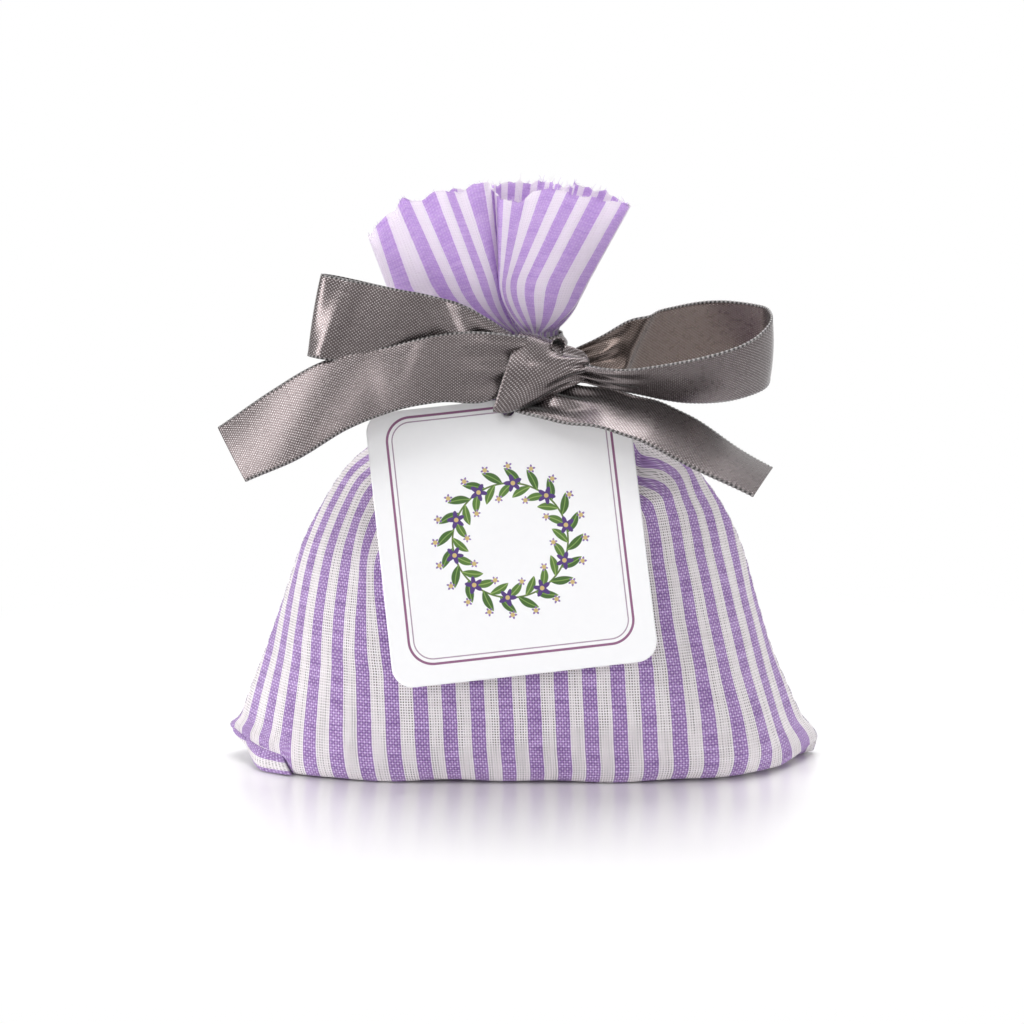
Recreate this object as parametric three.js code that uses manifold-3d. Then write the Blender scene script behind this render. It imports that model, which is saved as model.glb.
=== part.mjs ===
// Lavender sachet: a striped cotton bag of dried flowers, gathered at the neck, tied with
// a satin ribbon in a bow, with a card tag hung under the knot.
// Millimetres, +Z up, the front faces -Y, +X to the right, origin in the middle of the flat base.

import * as THREE from 'three';
import { mergeVertices } from 'three/addons/utils/BufferGeometryUtils.js';
import Module from 'manifold-3d';

const wasm = await Module();
wasm.setup();

// Clearances
const fitGap = 0.3; // between pieces that lie against each other
const looseGap = 0.5; // round the filling, and round the strand in the knot

// Bag body
const bagHalfWidth = 58; // out to the tips of the two base corners
const bagFrontDepth = 25.5; // fullest part of the front
const bagBackDepth = 23; // fullest part of the back
const bodyHeight = 73; // floor to the underside of the neck
const clothThick = 0.8;
const seamSetback = 3; // base seam behind the middle of the base
const baseSquareness = 2.2; // above 1 the base's edges run straighter than an arc
const baseSeamShare = 0.94; // length of the seam under the base, as a share of the base
const threadDiameter = 0.6;
const flatReach = 0.01; // least depth of a row of cloth, along the base seam
const fillingTop = 66; // the dried flowers stop below the neck

// Neck and ruffle
const neckOffset = 1.5; // the neck stands a little to the right
const neckRadius = 5.5;
const neckHeight = 12;
const neckChannel = 1.2; // radius left open in the bunched cloth
const neckPleatDepth = 0.5;
const ruffleHeight = 27;
const ruffleHalfWidth = 25.5;
const ruffleHalfDepth = 9;
const ruffleLean = -7; // the ruffle's cut edge leans to the left of the neck
const ruffleDrop = 6; // the cut edge falls away towards the side seams
const rufflePleatDepth = 2.8;
const pleatCount = 6; // on each panel

// Ribbon
const ribbonWidth = 16;
const ribbonThick = 0.6;
const wrapHeight = 10;
const wrapThick = 1.1;
const knotLength = 21;
const knotHeight = 14.5;
const knotDepth = 9;
const knotOffset = 1; // from the neck's axis to the right
const knotDrop = 1.5; // below the middle of the neck
const knotTilt = THREE.MathUtils.degToRad(17); // right end up
const knotNod = THREE.MathUtils.degToRad(22); // lower lip forward, over the tag
const knotEnds = 0.42; // height of the knot's ends, as a share of its middle
const knotBandSlant = 0.45; // the knot's last turn runs from top right to bottom left
const knotBandHalf = 0.42; // half width of that turn, as a share of half the knot's length
const knotBandProud = 0.1; // it stands proud by this share of the knot
const loopPinch = 8; // width to which a loop is gathered at the knot
const leftLoopReach = 32;
const leftLoopRise = 8.4;
const leftLoopFull = 4.4; // between the two faces of the flattened loop
const rightLoopReach = 34;
const rightLoopFull = 14; // the right loop stands open
const rightLoopRoll = THREE.MathUtils.degToRad(25); // of the way in which it opens
const rightLoopLean = THREE.MathUtils.degToRad(38); // of its upper edge, forward
const leftTailReach = 49;
const leftTailFall = 16.5;
const rightTailReach = 43;
const rightTailFall = 10;

// Tag and the strand that it hangs on
const tagWidth = 50.5;
const tagLength = 54;
const tagThick = 0.5;
const tagCorner = 4;
const tagRoll = THREE.MathUtils.degToRad(6.5); // right side up
const tagOffset = -4.2; // hole from the neck's axis, to the left
const tagDrop = 8; // hole below the middle of the neck
const tagHoleRadius = 1.5;
const tagHoleInset = 2.9;
const tagHoleAside = 2.2; // hole to the right of the card's middle, so the right side hangs higher
const strandRadius = 0.5;
const strandRing = 2.4;
const strandStandOff = 1.2; // from the neck wrap to the ring of the strand
const tagSway = 1.8; // room over the tag's top edge, in the knot, as it swings

// Mesh density
const panelColumns = 24;
const bodyRows = 12;
const undersideRows = 2;
const neckRows = 3;
const ruffleRows = 4;
const ribbonSteps = 22;
const knotRings = 12;
const knotSides = 16;
const wrapSides = 28;
const threadSteps = 90;

const X = new THREE.Vector3(1, 0, 0);
const vec = (x, y, z) => new THREE.Vector3(x, y, z);

// Geometry helpers

// A closed body from a list of corners and triangles, its faces turned outwards.
function closedBody(corners, triangles) {
  let volume = 0;
  for (const [a, b, c] of triangles) {
    volume += corners[a].dot(vec(0, 0, 0).crossVectors(corners[b], corners[c]));
  }
  const faces = volume < 0 ? triangles.map(([a, b, c]) => [a, c, b]) : triangles;
  const geometry = new THREE.BufferGeometry().setFromPoints(corners);
  geometry.setIndex(faces.flat());
  geometry.computeVertexNormals();
  return geometry;
}

// Rings of the same number of points, joined in order, with a fan over each open end.
function loft(rings) {
  const sides = rings[0].length;
  const corners = rings.flat();
  const triangles = [];
  for (let i = 0; i + 1 < rings.length; i++) {
    for (let j = 0; j < sides; j++) {
      const a = i * sides + j;
      const b = i * sides + ((j + 1) % sides);
      triangles.push([a, b, b + sides], [a, b + sides, a + sides]);
    }
  }
  for (const [ring, turn] of [[0, 1], [rings.length - 1, -1]]) {
    const middle = corners.length;
    const sum = rings[ring].reduce((total, p) => total.add(p), vec(0, 0, 0));
    corners.push(sum.divideScalar(sides));
    for (let j = 0; j < sides; j++) {
      const a = ring * sides + j;
      const b = ring * sides + ((j + 1) % sides);
      triangles.push(turn > 0 ? [middle, b, a] : [middle, a, b]);
    }
  }
  return closedBody(corners, triangles);
}

// A sheet with thickness: two grids of points, rows by columns, walled in along all four edges.
function sheet(outer, inner) {
  const rows = outer.length;
  const columns = outer[0].length;
  const corners = [...outer.flat(), ...inner.flat()];
  const under = rows * columns;
  const at = (i, j) => i * columns + j;
  const triangles = [];
  const quad = (a, b, c, d) => triangles.push([a, b, c], [a, c, d]);
  for (let i = 0; i + 1 < rows; i++) {
    for (let j = 0; j + 1 < columns; j++) {
      const [a, b, c, d] = [at(i, j), at(i, j + 1), at(i + 1, j + 1), at(i + 1, j)];
      quad(a, b, c, d);
      quad(under + a, under + d, under + c, under + b);
    }
  }
  for (let i = 0; i + 1 < rows; i++) {
    const last = columns - 1;
    quad(at(i, 0), at(i + 1, 0), under + at(i + 1, 0), under + at(i, 0));
    quad(at(i + 1, last), at(i, last), under + at(i, last), under + at(i + 1, last));
  }
  for (let j = 0; j + 1 < columns; j++) {
    const last = rows - 1;
    quad(at(0, j + 1), at(0, j), under + at(0, j), under + at(0, j + 1));
    quad(at(last, j), at(last, j + 1), under + at(last, j + 1), under + at(last, j));
  }
  return closedBody(corners, triangles);
}

// A ribbon along a route. Each station gives its middle, the direction of its upper edge and its width.
function ribbon(stations) {
  const middle = new THREE.CatmullRomCurve3(stations.map((s) => s.at));
  const upward = new THREE.CatmullRomCurve3(stations.map((s) => s.up));
  const widths = new THREE.SplineCurve(stations.map((s, i) => new THREE.Vector2(i, s.wide)));
  const rings = [];
  for (let i = 0; i <= ribbonSteps; i++) {
    const t = i / ribbonSteps;
    const along = middle.getTangent(t);
    const up = upward.getPoint(t).projectOnPlane(along).setLength(widths.getPoint(t).y / 2);
    const face = vec(0, 0, 0).crossVectors(along, up).setLength(ribbonThick / 2);
    const centre = middle.getPoint(t);
    const corner = (u, f) => centre.clone().addScaledVector(up, u).addScaledVector(face, f);
    rings.push([corner(1, 1), corner(-1, 1), corner(-1, -1), corner(1, -1)]);
  }
  return loft(rings);
}

function toSolid(geometry) {
  const bare = geometry.clone();
  bare.deleteAttribute('normal');
  bare.deleteAttribute('uv');
  const merged = mergeVertices(bare);
  return new wasm.Manifold(new wasm.Mesh({
    numProp: 3,
    vertProperties: merged.attributes.position.array,
    triVerts: new Uint32Array(merged.index.array),
  }));
}

function toGeometry(solid) {
  const mesh = solid.getMesh();
  const geometry = new THREE.BufferGeometry();
  geometry.setAttribute('position', new THREE.BufferAttribute(mesh.vertProperties, 3));
  geometry.setIndex(new THREE.BufferAttribute(mesh.triVerts, 1));
  return geometry;
}

const finish = (color, roughness) => new THREE.MeshStandardMaterial({ color, roughness, metalness: 0 });

const sachet = new THREE.Group();

function place(name, geometry, material) {
  const mesh = new THREE.Mesh(geometry, material);
  mesh.name = name;
  sachet.add(mesh);
  return mesh;
}

// Shape of the bag

// The body's outline from the base up: shares of its half width, its depth and its height.
const bodyOutline = [
  { wide: 1, deep: 0.85, rise: 0 },
  { wide: 0.985, deep: 0.92, rise: 0.05 },
  { wide: 0.945, deep: 0.97, rise: 0.13 },
  { wide: 0.85, deep: 0.98, rise: 0.31 },
  { wide: 0.745, deep: 0.78, rise: 0.57 },
  { wide: 0.615, deep: 0.6, rise: 0.77 },
  { wide: 0.44, deep: 0.47, rise: 0.885 },
  { wide: 0.24, deep: 0.34, rise: 0.955 },
].map((s) => vec(s.wide, s.deep, s.rise));

const neckMiddle = bodyHeight + neckHeight / 2;
const neckTop = bodyHeight + neckHeight;
const seamGap = threadDiameter + 2 * fitGap;
const mix = THREE.MathUtils.lerp;

// Rows of the cloth from the base seam to the cut edge. A row holds its height, its middle,
// its half width, its depth in front of and behind the seam, its pleats and its wall.
function clothRows() {
  const rows = [];
  const body = new THREE.CatmullRomCurve3(bodyOutline).getPoints(bodyRows);
  const bodyRow = (p, fullness) => {
    const seam = seamSetback * (1 - p.z);
    return {
      z: p.z * bodyHeight,
      x: neckOffset * p.z,
      seam,
      half: bagHalfWidth * p.x,
      front: (bagFrontDepth * p.y + seam - seamGap / 2) * fullness,
      back: (bagBackDepth * p.y - seam - seamGap / 2) * fullness,
      pleat: neckPleatDepth * p.z ** 6,
      innerPleat: neckPleatDepth * p.z ** 6,
      wall: clothThick,
      square: mix(baseSquareness, 1, p.z),
      base: p.z === 0,
    };
  };
  for (let i = 0; i < undersideRows; i++) {
    const share = i / undersideRows;
    const row = bodyRow(body[0], share);
    rows.push({ ...row, half: row.half * mix(baseSeamShare, 1, share), wall: 0 });
  }
  rows.push(...body.map((p) => bodyRow(p, 1)));
  for (let i = 0; i <= neckRows; i++) {
    rows.push({
      z: mix(bodyHeight, neckTop, i / neckRows),
      x: neckOffset,
      seam: 0,
      half: neckRadius,
      front: neckRadius - seamGap / 2,
      back: neckRadius - seamGap / 2,
      pleat: neckPleatDepth,
      innerPleat: 0,
      wall: neckRadius - neckChannel,
      base: false,
    });
  }
  for (let i = 1; i <= ruffleRows; i++) {
    const t = i / ruffleRows;
    const flare = Math.sin((t * Math.PI) / 2);
    const depth = mix(neckRadius, ruffleHalfDepth, flare) - seamGap / 2;
    rows.push({
      z: neckTop + ruffleHeight * t,
      x: neckOffset + ruffleLean * flare,
      seam: 0,
      half: mix(neckRadius, ruffleHalfWidth, flare),
      front: depth,
      back: depth,
      pleat: mix(neckPleatDepth, rufflePleatDepth, t),
      innerPleat: rufflePleatDepth * Math.sqrt(t),
      wall: mix(neckRadius - neckChannel, clothThick, Math.sqrt(t)),
      drop: ruffleDrop * t,
      base: false,
    });
  }
  return rows;
}

const rows = clothRows();

// A point of a row: u runs from -1 at the left seam to 1 at the right one, in even steps along
// the arc of a circle from seam to seam. Side is -1 in front and 1 behind, and inset moves the
// point in from the cloth's face.
function clothPoint(row, u, side, inset, pleat) {
  const wave = -Math.cos(pleatCount * Math.PI * (u + 1)) * Math.cos((u * Math.PI) / 2);
  const half = row.half - inset + pleat * wave;
  const reach = Math.max((side < 0 ? row.front : row.back) - inset + pleat * wave, flatReach);
  const swing = 2 * Math.atan2(reach, half);
  const arc = (Math.cos(u * swing) - Math.cos(swing)) / (1 - Math.cos(swing));
  const swell = 1 - (1 - arc) ** (row.square ?? 1);
  return vec(
    row.x + (half * Math.sin(u * swing)) / Math.sin(swing),
    row.seam + side * (seamGap / 2 + reach * swell),
    row.z - (row.drop ?? 0) * u * u,
  );
}

const acrossPanel = Array.from({ length: panelColumns + 1 }, (_, j) => (2 * j) / panelColumns - 1);

function bagPanel(side) {
  const outer = rows.map((row) => acrossPanel.map((u) => clothPoint(row, u, side, 0, row.pleat)));
  const inner = rows.map((row) => acrossPanel.map((u) => {
    const p = clothPoint(row, u, side, row.wall, row.innerPleat);
    return p.setZ(p.z + (row.base ? clothThick : 0));
  }));
  return sheet(outer, inner);
}

const cotton = () => finish(0xb59ccb, 0.9);
place('bag_front_panel', bagPanel(-1), cotton());
place('bag_back_panel', bagPanel(1), cotton());

// The thread lies in the seam, in the middle of the cloth's thickness, from the cut edge
// down the left side, across the base and up the right side.
function seamThread() {
  const half = clothThick / 2;
  const side = (sign) => rows.slice(undersideRows).map((row) => vec(
    row.x + sign * (row.half - half),
    row.seam,
    Math.max(row.z - (row.drop ?? 0), half),
  ));
  const across = [-0.5, 0, 0.5].map((share) => vec(share * rows[0].half, rows[0].seam, half));
  const stops = [...side(-1).reverse(), ...across, ...side(1)];
  const route = new THREE.CatmullRomCurve3(stops, false, 'catmullrom', 0);
  const section = new THREE.Shape().absarc(0, 0, threadDiameter / 2, 0, 2 * Math.PI);
  return new THREE.ExtrudeGeometry(section, { steps: threadSteps, curveSegments: 3, extrudePath: route });
}

place('seam_thread', seamThread(), finish(0xe6e0ea, 0.8));

// The dried flowers fill the body, clear of the cloth all round.
function lavenderFilling() {
  const inset = clothThick + looseGap;
  const levels = rows
    .filter((row, i) => i >= undersideRows && row.z <= fillingTop)
    .map((row) => ({ ...row, half: row.half - seamGap - looseGap }));
  const back = acrossPanel.slice(1, -1).reverse();
  return loft(levels.map((row) => {
    const ring = [
      ...acrossPanel.map((u) => clothPoint(row, u, -1, inset, row.innerPleat)),
      ...back.map((u) => clothPoint(row, u, 1, inset, row.innerPleat)),
    ];
    ring.forEach((p) => { p.z = Math.max(row.z, inset); });
    return ring;
  }));
}

place('lavender_filling', lavenderFilling(), finish(0x6d6590, 1));

// Ribbon

const satin = () => finish(0x6f6665, 0.42);
const wrapInner = neckRadius + neckPleatDepth + fitGap;
const wrapOuter = wrapInner + wrapThick;

// The turn round the neck: a band with a rounded outer face.
function neckWrap() {
  const rise = wrapHeight / 2;
  const profile = [[wrapInner, -rise], [wrapOuter - wrapThick / 2, -rise], [wrapOuter, -rise / 2],
    [wrapOuter, rise / 2], [wrapOuter - wrapThick / 2, rise], [wrapInner, rise], [wrapInner, -rise]];
  const band = new THREE.LatheGeometry(profile.map(([r, z]) => new THREE.Vector2(r, z)), wrapSides);
  return band.rotateX(Math.PI / 2);
}

place('ribbon_neck_wrap', neckWrap(), satin()).position.set(neckOffset, 0, neckMiddle);

const knotMiddle = vec(neckOffset + knotOffset, -(wrapOuter + fitGap + knotDepth / 2), neckMiddle - knotDrop);
const strandMiddleY = -(wrapOuter + strandStandOff + strandRing + strandRadius);
const holeHeight = neckMiddle - tagDrop;

// The tag's plane runs from its hole down to the front of the bag, so its lean follows both.
function leanOfTag() {
  const tagFoot = holeHeight - tagLength + tagHoleInset;
  const below = rows.filter((row) => !row.base && row.z < bodyHeight && row.z > tagFoot - tagHoleInset);
  const needed = below.map((row) => {
    const face = row.front + seamGap / 2 - row.seam + fitGap + tagThick;
    return Math.atan2(face + strandMiddleY, holeHeight - row.z);
  });
  return Math.max(...needed);
}

const tagLean = leanOfTag();
const tagUp = vec(0, Math.sin(tagLean), Math.cos(tagLean));
const tagOut = vec(0, -Math.cos(tagLean), Math.sin(tagLean));
const tagHole = vec(neckOffset + tagOffset, strandMiddleY, holeHeight);
const strandMiddle = tagHole.clone().addScaledVector(tagUp, strandRing);
const tagTurn = new THREE.Quaternion()
  .setFromRotationMatrix(new THREE.Matrix4().makeBasis(X, tagUp, tagOut))
  .multiply(new THREE.Quaternion().setFromAxisAngle(vec(0, 0, 1), tagRoll));

// The knot: a tilted bead with the last turn of the ribbon standing out across it,
// hollowed at the back where the strand comes out.
function knot() {
  const rings = [];
  for (let i = 0; i <= knotRings; i++) {
    const s = (2 * i) / knotRings - 1;
    const swell = mix(knotEnds, 1, Math.sqrt(1 - s * s));
    const ring = [];
    for (let j = 0; j < knotSides; j++) {
      const angle = (2 * Math.PI * j) / knotSides;
      const across = (s - knotBandSlant * Math.sin(angle)) / knotBandHalf;
      const turn = 1 + knotBandProud * (Math.exp(-(across ** 4)) - 0.5);
      ring.push(vec(
        (s * knotLength) / 2,
        (-Math.cos(angle) * knotDepth * swell * turn) / 2,
        (Math.sin(angle) * knotHeight * swell * turn) / 2,
      ));
    }
    rings.push(ring);
  }
  const bead = loft(rings).rotateX(knotNod).rotateY(-knotTilt);
  bead.translate(knotMiddle.x, knotMiddle.y, knotMiddle.z);
  const room = strandRing + strandRadius + looseGap;
  const pocket = new THREE.BoxGeometry(2 * room, 2 * room + knotDepth, 2 * room + knotHeight);
  pocket.translate(
    strandMiddle.x,
    strandMiddle.y + knotDepth / 2,
    strandMiddle.z - knotHeight / 2,
  );
  const slotTop = tagHoleInset + tagSway;
  const slotFront = tagThick / 2 + 2 * fitGap;
  const slot = new THREE.BoxGeometry(tagWidth, slotTop + knotHeight, slotFront + knotDepth);
  slot.translate(0, (slotTop - knotHeight) / 2, (slotFront - knotDepth) / 2);
  slot.applyQuaternion(tagTurn).translate(tagHole.x, tagHole.y, tagHole.z);
  const wrapRoom = new THREE.CylinderGeometry(
    wrapOuter + fitGap, wrapOuter + fitGap, 4 * knotHeight, wrapSides,
  ).rotateX(Math.PI / 2);
  wrapRoom.translate(neckOffset, 0, neckMiddle);
  const cuts = [pocket, slot, wrapRoom].map(toSolid);
  return toGeometry(cuts.reduce((left, cut) => left.subtract(cut), toSolid(bead)));
}

place('ribbon_knot', knot(), satin());

const fromKnot = (x, y, z) => knotMiddle.clone().add(vec(x, y, z));
const knotLeft = (knotLength / 2) * Math.cos(knotTilt);
const knotRight = knotLeft + (knotHeight / 2) * knotEnds * Math.sin(knotTilt) + 2 * fitGap;
const knotRise = (knotLength / 2) * Math.sin(knotTilt);

// Left loop: out along the front face, round the end and back behind, almost flat.
function leftLoop() {
  const half = leftLoopFull / 2;
  const slope = (share) => knotRise + leftLoopRise * share ** 0.7;
  const station = (share, deep, wide) => ({
    at: fromKnot(-knotLeft - leftLoopReach * share, deep, slope(share)),
    up: vec(0.22, 0, 0.97),
    wide,
  });
  return ribbon([
    station(0, -ribbonThick * 1.4, loopPinch),
    station(0.16, -half * 0.6, ribbonWidth * 0.85),
    station(0.45, -half, ribbonWidth),
    station(0.85, -half, ribbonWidth),
    station(1, 0, ribbonWidth),
    station(0.85, half, ribbonWidth),
    station(0.45, half, ribbonWidth),
    station(0.16, half * 0.6, ribbonWidth * 0.85),
    station(0, ribbonThick * 1.4, loopPinch),
  ]);
}

place('ribbon_left_loop', leftLoop(), satin());

// Right loop: open, and rolled so that its upper edge leans forward.
function rightLoop() {
  const open = vec(0, Math.cos(rightLoopRoll), Math.sin(rightLoopRoll));
  const up = vec(0, -Math.sin(rightLoopLean), Math.cos(rightLoopLean));
  const station = (share, deep, wide) => ({
    at: fromKnot(knotRight + rightLoopReach * share, -2 * ribbonThick, knotRise)
      .addScaledVector(open, deep),
    up,
    wide,
  });
  const back = 0.74 * rightLoopFull;
  const front = -0.36 * rightLoopFull;
  return ribbon([
    station(0, -ribbonThick * 1.4, loopPinch),
    station(0.2, front * 0.8, ribbonWidth * 0.8),
    station(0.55, front, ribbonWidth),
    station(0.87, front * 0.2, ribbonWidth),
    station(1, back * 0.36, ribbonWidth),
    station(0.87, back * 0.82, ribbonWidth),
    station(0.55, back, ribbonWidth),
    station(0.2, back * 0.5, ribbonWidth * 0.8),
    station(0, ribbonThick * 1.4, loopPinch),
  ]);
}

place('ribbon_right_loop', rightLoop(), satin());

// Left tail: in front of the left loop, out and down, its cut end facing up a little.
function leftTail() {
  const front = -(leftLoopFull / 2 + ribbonThick + 2 * looseGap);
  const station = (share, forward, fall, up, wide) => ({
    at: fromKnot(-knotLeft - leftTailReach * share, front - forward, 2 - leftTailFall * fall),
    up,
    wide,
  });
  return ribbon([
    station(0, 0, 0, vec(0.1, 0, 1), ribbonWidth * 0.7),
    station(0.15, 1, 0, vec(0.1, 0, 1), ribbonWidth * 0.9),
    station(0.32, 2.2, 0.1, vec(0.15, 0.1, 1), ribbonWidth),
    station(0.56, 3.6, 0.33, vec(0.2, 0.25, 0.9), ribbonWidth),
    station(0.79, 4, 0.69, vec(0.3, 0.5, 0.8), ribbonWidth),
    station(1, 3.2, 1, vec(0.35, 0.66, 0.65), ribbonWidth),
  ]);
}

place('ribbon_left_tail', leftTail(), satin());

// Right tail: out from under the knot, across the corner of the tag and down past the shoulder.
function rightTail() {
  const up = vec(0.2, 0.85, 0.45);
  const clearOfTag = (ribbonWidth / 2) * 0.85 + tagThick + 4 * looseGap;
  const start = vec(neckOffset + 1.2, 0, neckMiddle - knotDrop - (knotHeight / 2) * 1.04 - 3 * looseGap);
  const station = (share, forward, fall, wide) => ({
    at: vec(start.x + rightTailReach * share, strandMiddleY - forward, start.z - rightTailFall * fall),
    up,
    wide,
  });
  return ribbon([
    station(0, clearOfTag * 0.62, 0, ribbonWidth * 0.6),
    station(0.18, clearOfTag * 0.85, -0.1, ribbonWidth * 0.85),
    station(0.41, clearOfTag, -0.04, ribbonWidth),
    station(0.58, clearOfTag, 0.1, ribbonWidth),
    station(0.8, clearOfTag, 0.55, ribbonWidth),
    station(1, clearOfTag, 1, ribbonWidth),
  ]);
}

place('ribbon_right_tail', rightTail(), satin());

// Tag

// The strand: a ring of rolled ribbon, down through the hole of the tag and up round its top edge.
const strand = place(
  'ribbon_tag_strand',
  new THREE.TorusGeometry(strandRing, strandRadius, 8, 20),
  satin(),
);
strand.quaternion.setFromAxisAngle(X, -tagLean).multiply(
  new THREE.Quaternion().setFromAxisAngle(vec(0, 1, 0), Math.PI / 2),
);
strand.position.copy(strandMiddle);

// The card: square with round corners, one hole near the middle of its top edge.
function hangTag() {
  const right = tagWidth / 2 - tagHoleAside;
  const left = right - tagWidth;
  const top = tagHoleInset;
  const foot = tagHoleInset - tagLength;
  const card = new THREE.Shape();
  card.absarc(right - tagCorner, top - tagCorner, tagCorner, 0, Math.PI / 2);
  card.absarc(left + tagCorner, top - tagCorner, tagCorner, Math.PI / 2, Math.PI);
  card.absarc(left + tagCorner, foot + tagCorner, tagCorner, Math.PI, 1.5 * Math.PI);
  card.absarc(right - tagCorner, foot + tagCorner, tagCorner, 1.5 * Math.PI, 2 * Math.PI);
  card.holes.push(new THREE.Path().absarc(0, 0, tagHoleRadius, 0, 2 * Math.PI));
  const blank = new THREE.ExtrudeGeometry(card, { depth: tagThick, bevelEnabled: false, curveSegments: 8 });
  return blank.translate(0, 0, -tagThick / 2);
}

const tag = place('hang_tag', hangTag(), finish(0xf6f6f8, 0.45));
tag.quaternion.copy(tagTurn);
tag.position.copy(tagHole);

export default sachet;
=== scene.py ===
import math
from functools import partialmethod

import bmesh
import bpy
import numpy as np
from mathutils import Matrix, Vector


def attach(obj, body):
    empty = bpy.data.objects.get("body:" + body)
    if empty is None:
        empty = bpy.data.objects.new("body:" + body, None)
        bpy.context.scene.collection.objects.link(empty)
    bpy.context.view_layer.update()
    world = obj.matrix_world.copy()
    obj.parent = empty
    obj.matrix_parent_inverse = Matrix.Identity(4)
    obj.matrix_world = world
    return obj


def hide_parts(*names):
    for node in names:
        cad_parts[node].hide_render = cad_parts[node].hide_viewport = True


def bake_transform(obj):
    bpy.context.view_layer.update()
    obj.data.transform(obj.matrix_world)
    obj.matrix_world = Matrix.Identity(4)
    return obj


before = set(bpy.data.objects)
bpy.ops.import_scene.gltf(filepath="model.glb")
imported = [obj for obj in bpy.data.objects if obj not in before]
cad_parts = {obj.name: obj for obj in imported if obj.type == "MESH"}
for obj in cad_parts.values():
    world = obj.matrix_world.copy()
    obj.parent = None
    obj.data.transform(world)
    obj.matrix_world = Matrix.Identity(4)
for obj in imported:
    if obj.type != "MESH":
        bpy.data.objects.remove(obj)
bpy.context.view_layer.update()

scene = bpy.context.scene
scene.view_settings.view_transform = "Standard"
mm = 0.001
print("frame loaded")


# shapes

def smooth(low, high, x):  # 0 below low, 1 above high, an S curve between
    t = np.clip((np.asarray(x, float) - low) / (high - low), 0, 1)
    return t * t * (3 - 2 * t)


def mix(a, b, t):
    return a + (b - a) * t


def unit(v):
    return v / np.maximum(np.linalg.norm(v, axis=-1, keepdims=True), 1e-12)


def asColumn(a):
    return a[:, None]


def paired(a, b):  # two arrays, spread to one shape, as pairs of values
    return np.stack(np.broadcast_arrays(a, b), -1)


def through(knots, values, x):  # cubic through points, with slopes that never overshoot
    k, y = np.asarray(knots, float), np.asarray(values, float)
    h, d = np.diff(k), np.diff(y) / np.diff(k)
    m = np.empty_like(y)
    m[0], m[-1] = d[0], d[-1]
    same = d[:-1] * d[1:] > 0
    safe = np.where(same, d[:-1] + d[1:], 1)
    m[1:-1] = np.where(same, 2 * d[:-1] * d[1:] / safe, 0)
    i = np.clip(np.searchsorted(k, x) - 1, 0, len(h) - 1)
    t = (x - k[i]) / h[i]
    return ((1 + 2 * t) * (1 - t) ** 2 * y[i] + t * (1 - t) ** 2 * h[i] * m[i]
            + t * t * (3 - 2 * t) * y[i + 1] + t * t * (t - 1) * h[i] * m[i + 1])


def curveThrough(points, count):  # Catmull-Rom through points, each row one value or more
    p = np.asarray(points, float)
    p = np.vstack([2 * p[:1] - p[1:2], p, 2 * p[-1:] - p[-2:-1]])
    s = np.linspace(0, len(p) - 3 - 1e-9, count)
    i = s.astype(int)
    t = (s - i)[:, None]
    a, b, c, d = p[i], p[i + 1], p[i + 2], p[i + 3]
    return 0.5 * (2 * b + (c - a) * t + (2 * a - 5 * b + 4 * c - d) * t ** 2
                  + (3 * b - a - 3 * c + d) * t ** 3)


def evenly(rows, count, lead=3):  # the same curve, resampled at equal steps of its length
    step = np.linalg.norm(np.diff(rows[:, :lead], axis=0), axis=1)
    run = np.concatenate([[0], np.cumsum(step)])
    at = np.linspace(0, run[-1], count)
    return np.stack([np.interp(at, run, c) for c in rows.T], 1), at


def meshPiece(name, points, faces, uvs=None, uvName="cloth"):
    mesh = bpy.data.meshes.new(name)
    rows = faces if isinstance(faces, list) else faces.tolist()
    mesh.from_pydata((points.reshape(-1, 3) * mm).tolist(), [], rows)
    if uvs is not None:
        layer = mesh.uv_layers.new(name=uvName)
        layer.data.foreach_set("uv", (uvs * mm).astype(np.float32).ravel())
    mesh.polygons.foreach_set("use_smooth", np.ones(len(faces), bool))
    mesh.update()
    obj = bpy.data.objects.new(name, mesh)
    scene.collection.objects.link(obj)
    return obj


def gridFaces(rows, columns, closed=False):  # quads of a grid, the last column joined to the first if closed
    i, j = np.meshgrid(np.arange(rows - 1), np.arange(columns if closed else columns - 1), indexing="ij")
    k = (j + 1) % columns
    corners = [i * columns + j, i * columns + k, (i + 1) * columns + k, (i + 1) * columns + j]
    return np.stack(corners, -1).reshape(-1, 4)


def gridUvs(left, right):  # corner coordinates, from each column's values at its left and right side
    rows = [left[..., :-1, :, :], right[..., :-1, :, :], right[..., 1:, :, :], left[..., 1:, :, :]]
    return np.stack(rows, -2).reshape(-1, 2)


def tubePiece(name, points, left, right, uvName="cloth"):  # a grid joined round, with its layout
    return meshPiece(name, points, gridFaces(*points.shape[:2], closed=True), gridUvs(left, right), uvName)


def thicken(obj, thick, offset):
    wall = obj.modifiers.new("wall", "SOLIDIFY")
    wall.thickness, wall.offset = thick * mm, offset


def dress(obj, material, slot, body, *nodes):  # its material and body, and the nodes that it replaces; slot is not used
    obj.data.materials.append(material)
    if nodes:
        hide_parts(*nodes)
    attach(obj, body)


def outward(obj):  # turns the faces of a closed body outwards
    b = bmesh.new()
    b.from_mesh(obj.data)
    bmesh.ops.recalc_face_normals(b, faces=b.faces)
    b.to_mesh(obj.data)
    b.free()
    return obj


def welded(obj):  # joins points that coincide, then turns the faces outwards
    b = bmesh.new()
    b.from_mesh(obj.data)
    bmesh.ops.remove_doubles(b, verts=b.verts, dist=1e-7)
    b.to_mesh(obj.data)
    b.free()
    return outward(obj)


def weldedPiece(name, points, flat, uvName):  # a tube whose layout carries on from each column to the next
    return welded(tubePiece(name, points, flat, np.roll(flat, -1, 1), uvName))


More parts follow.
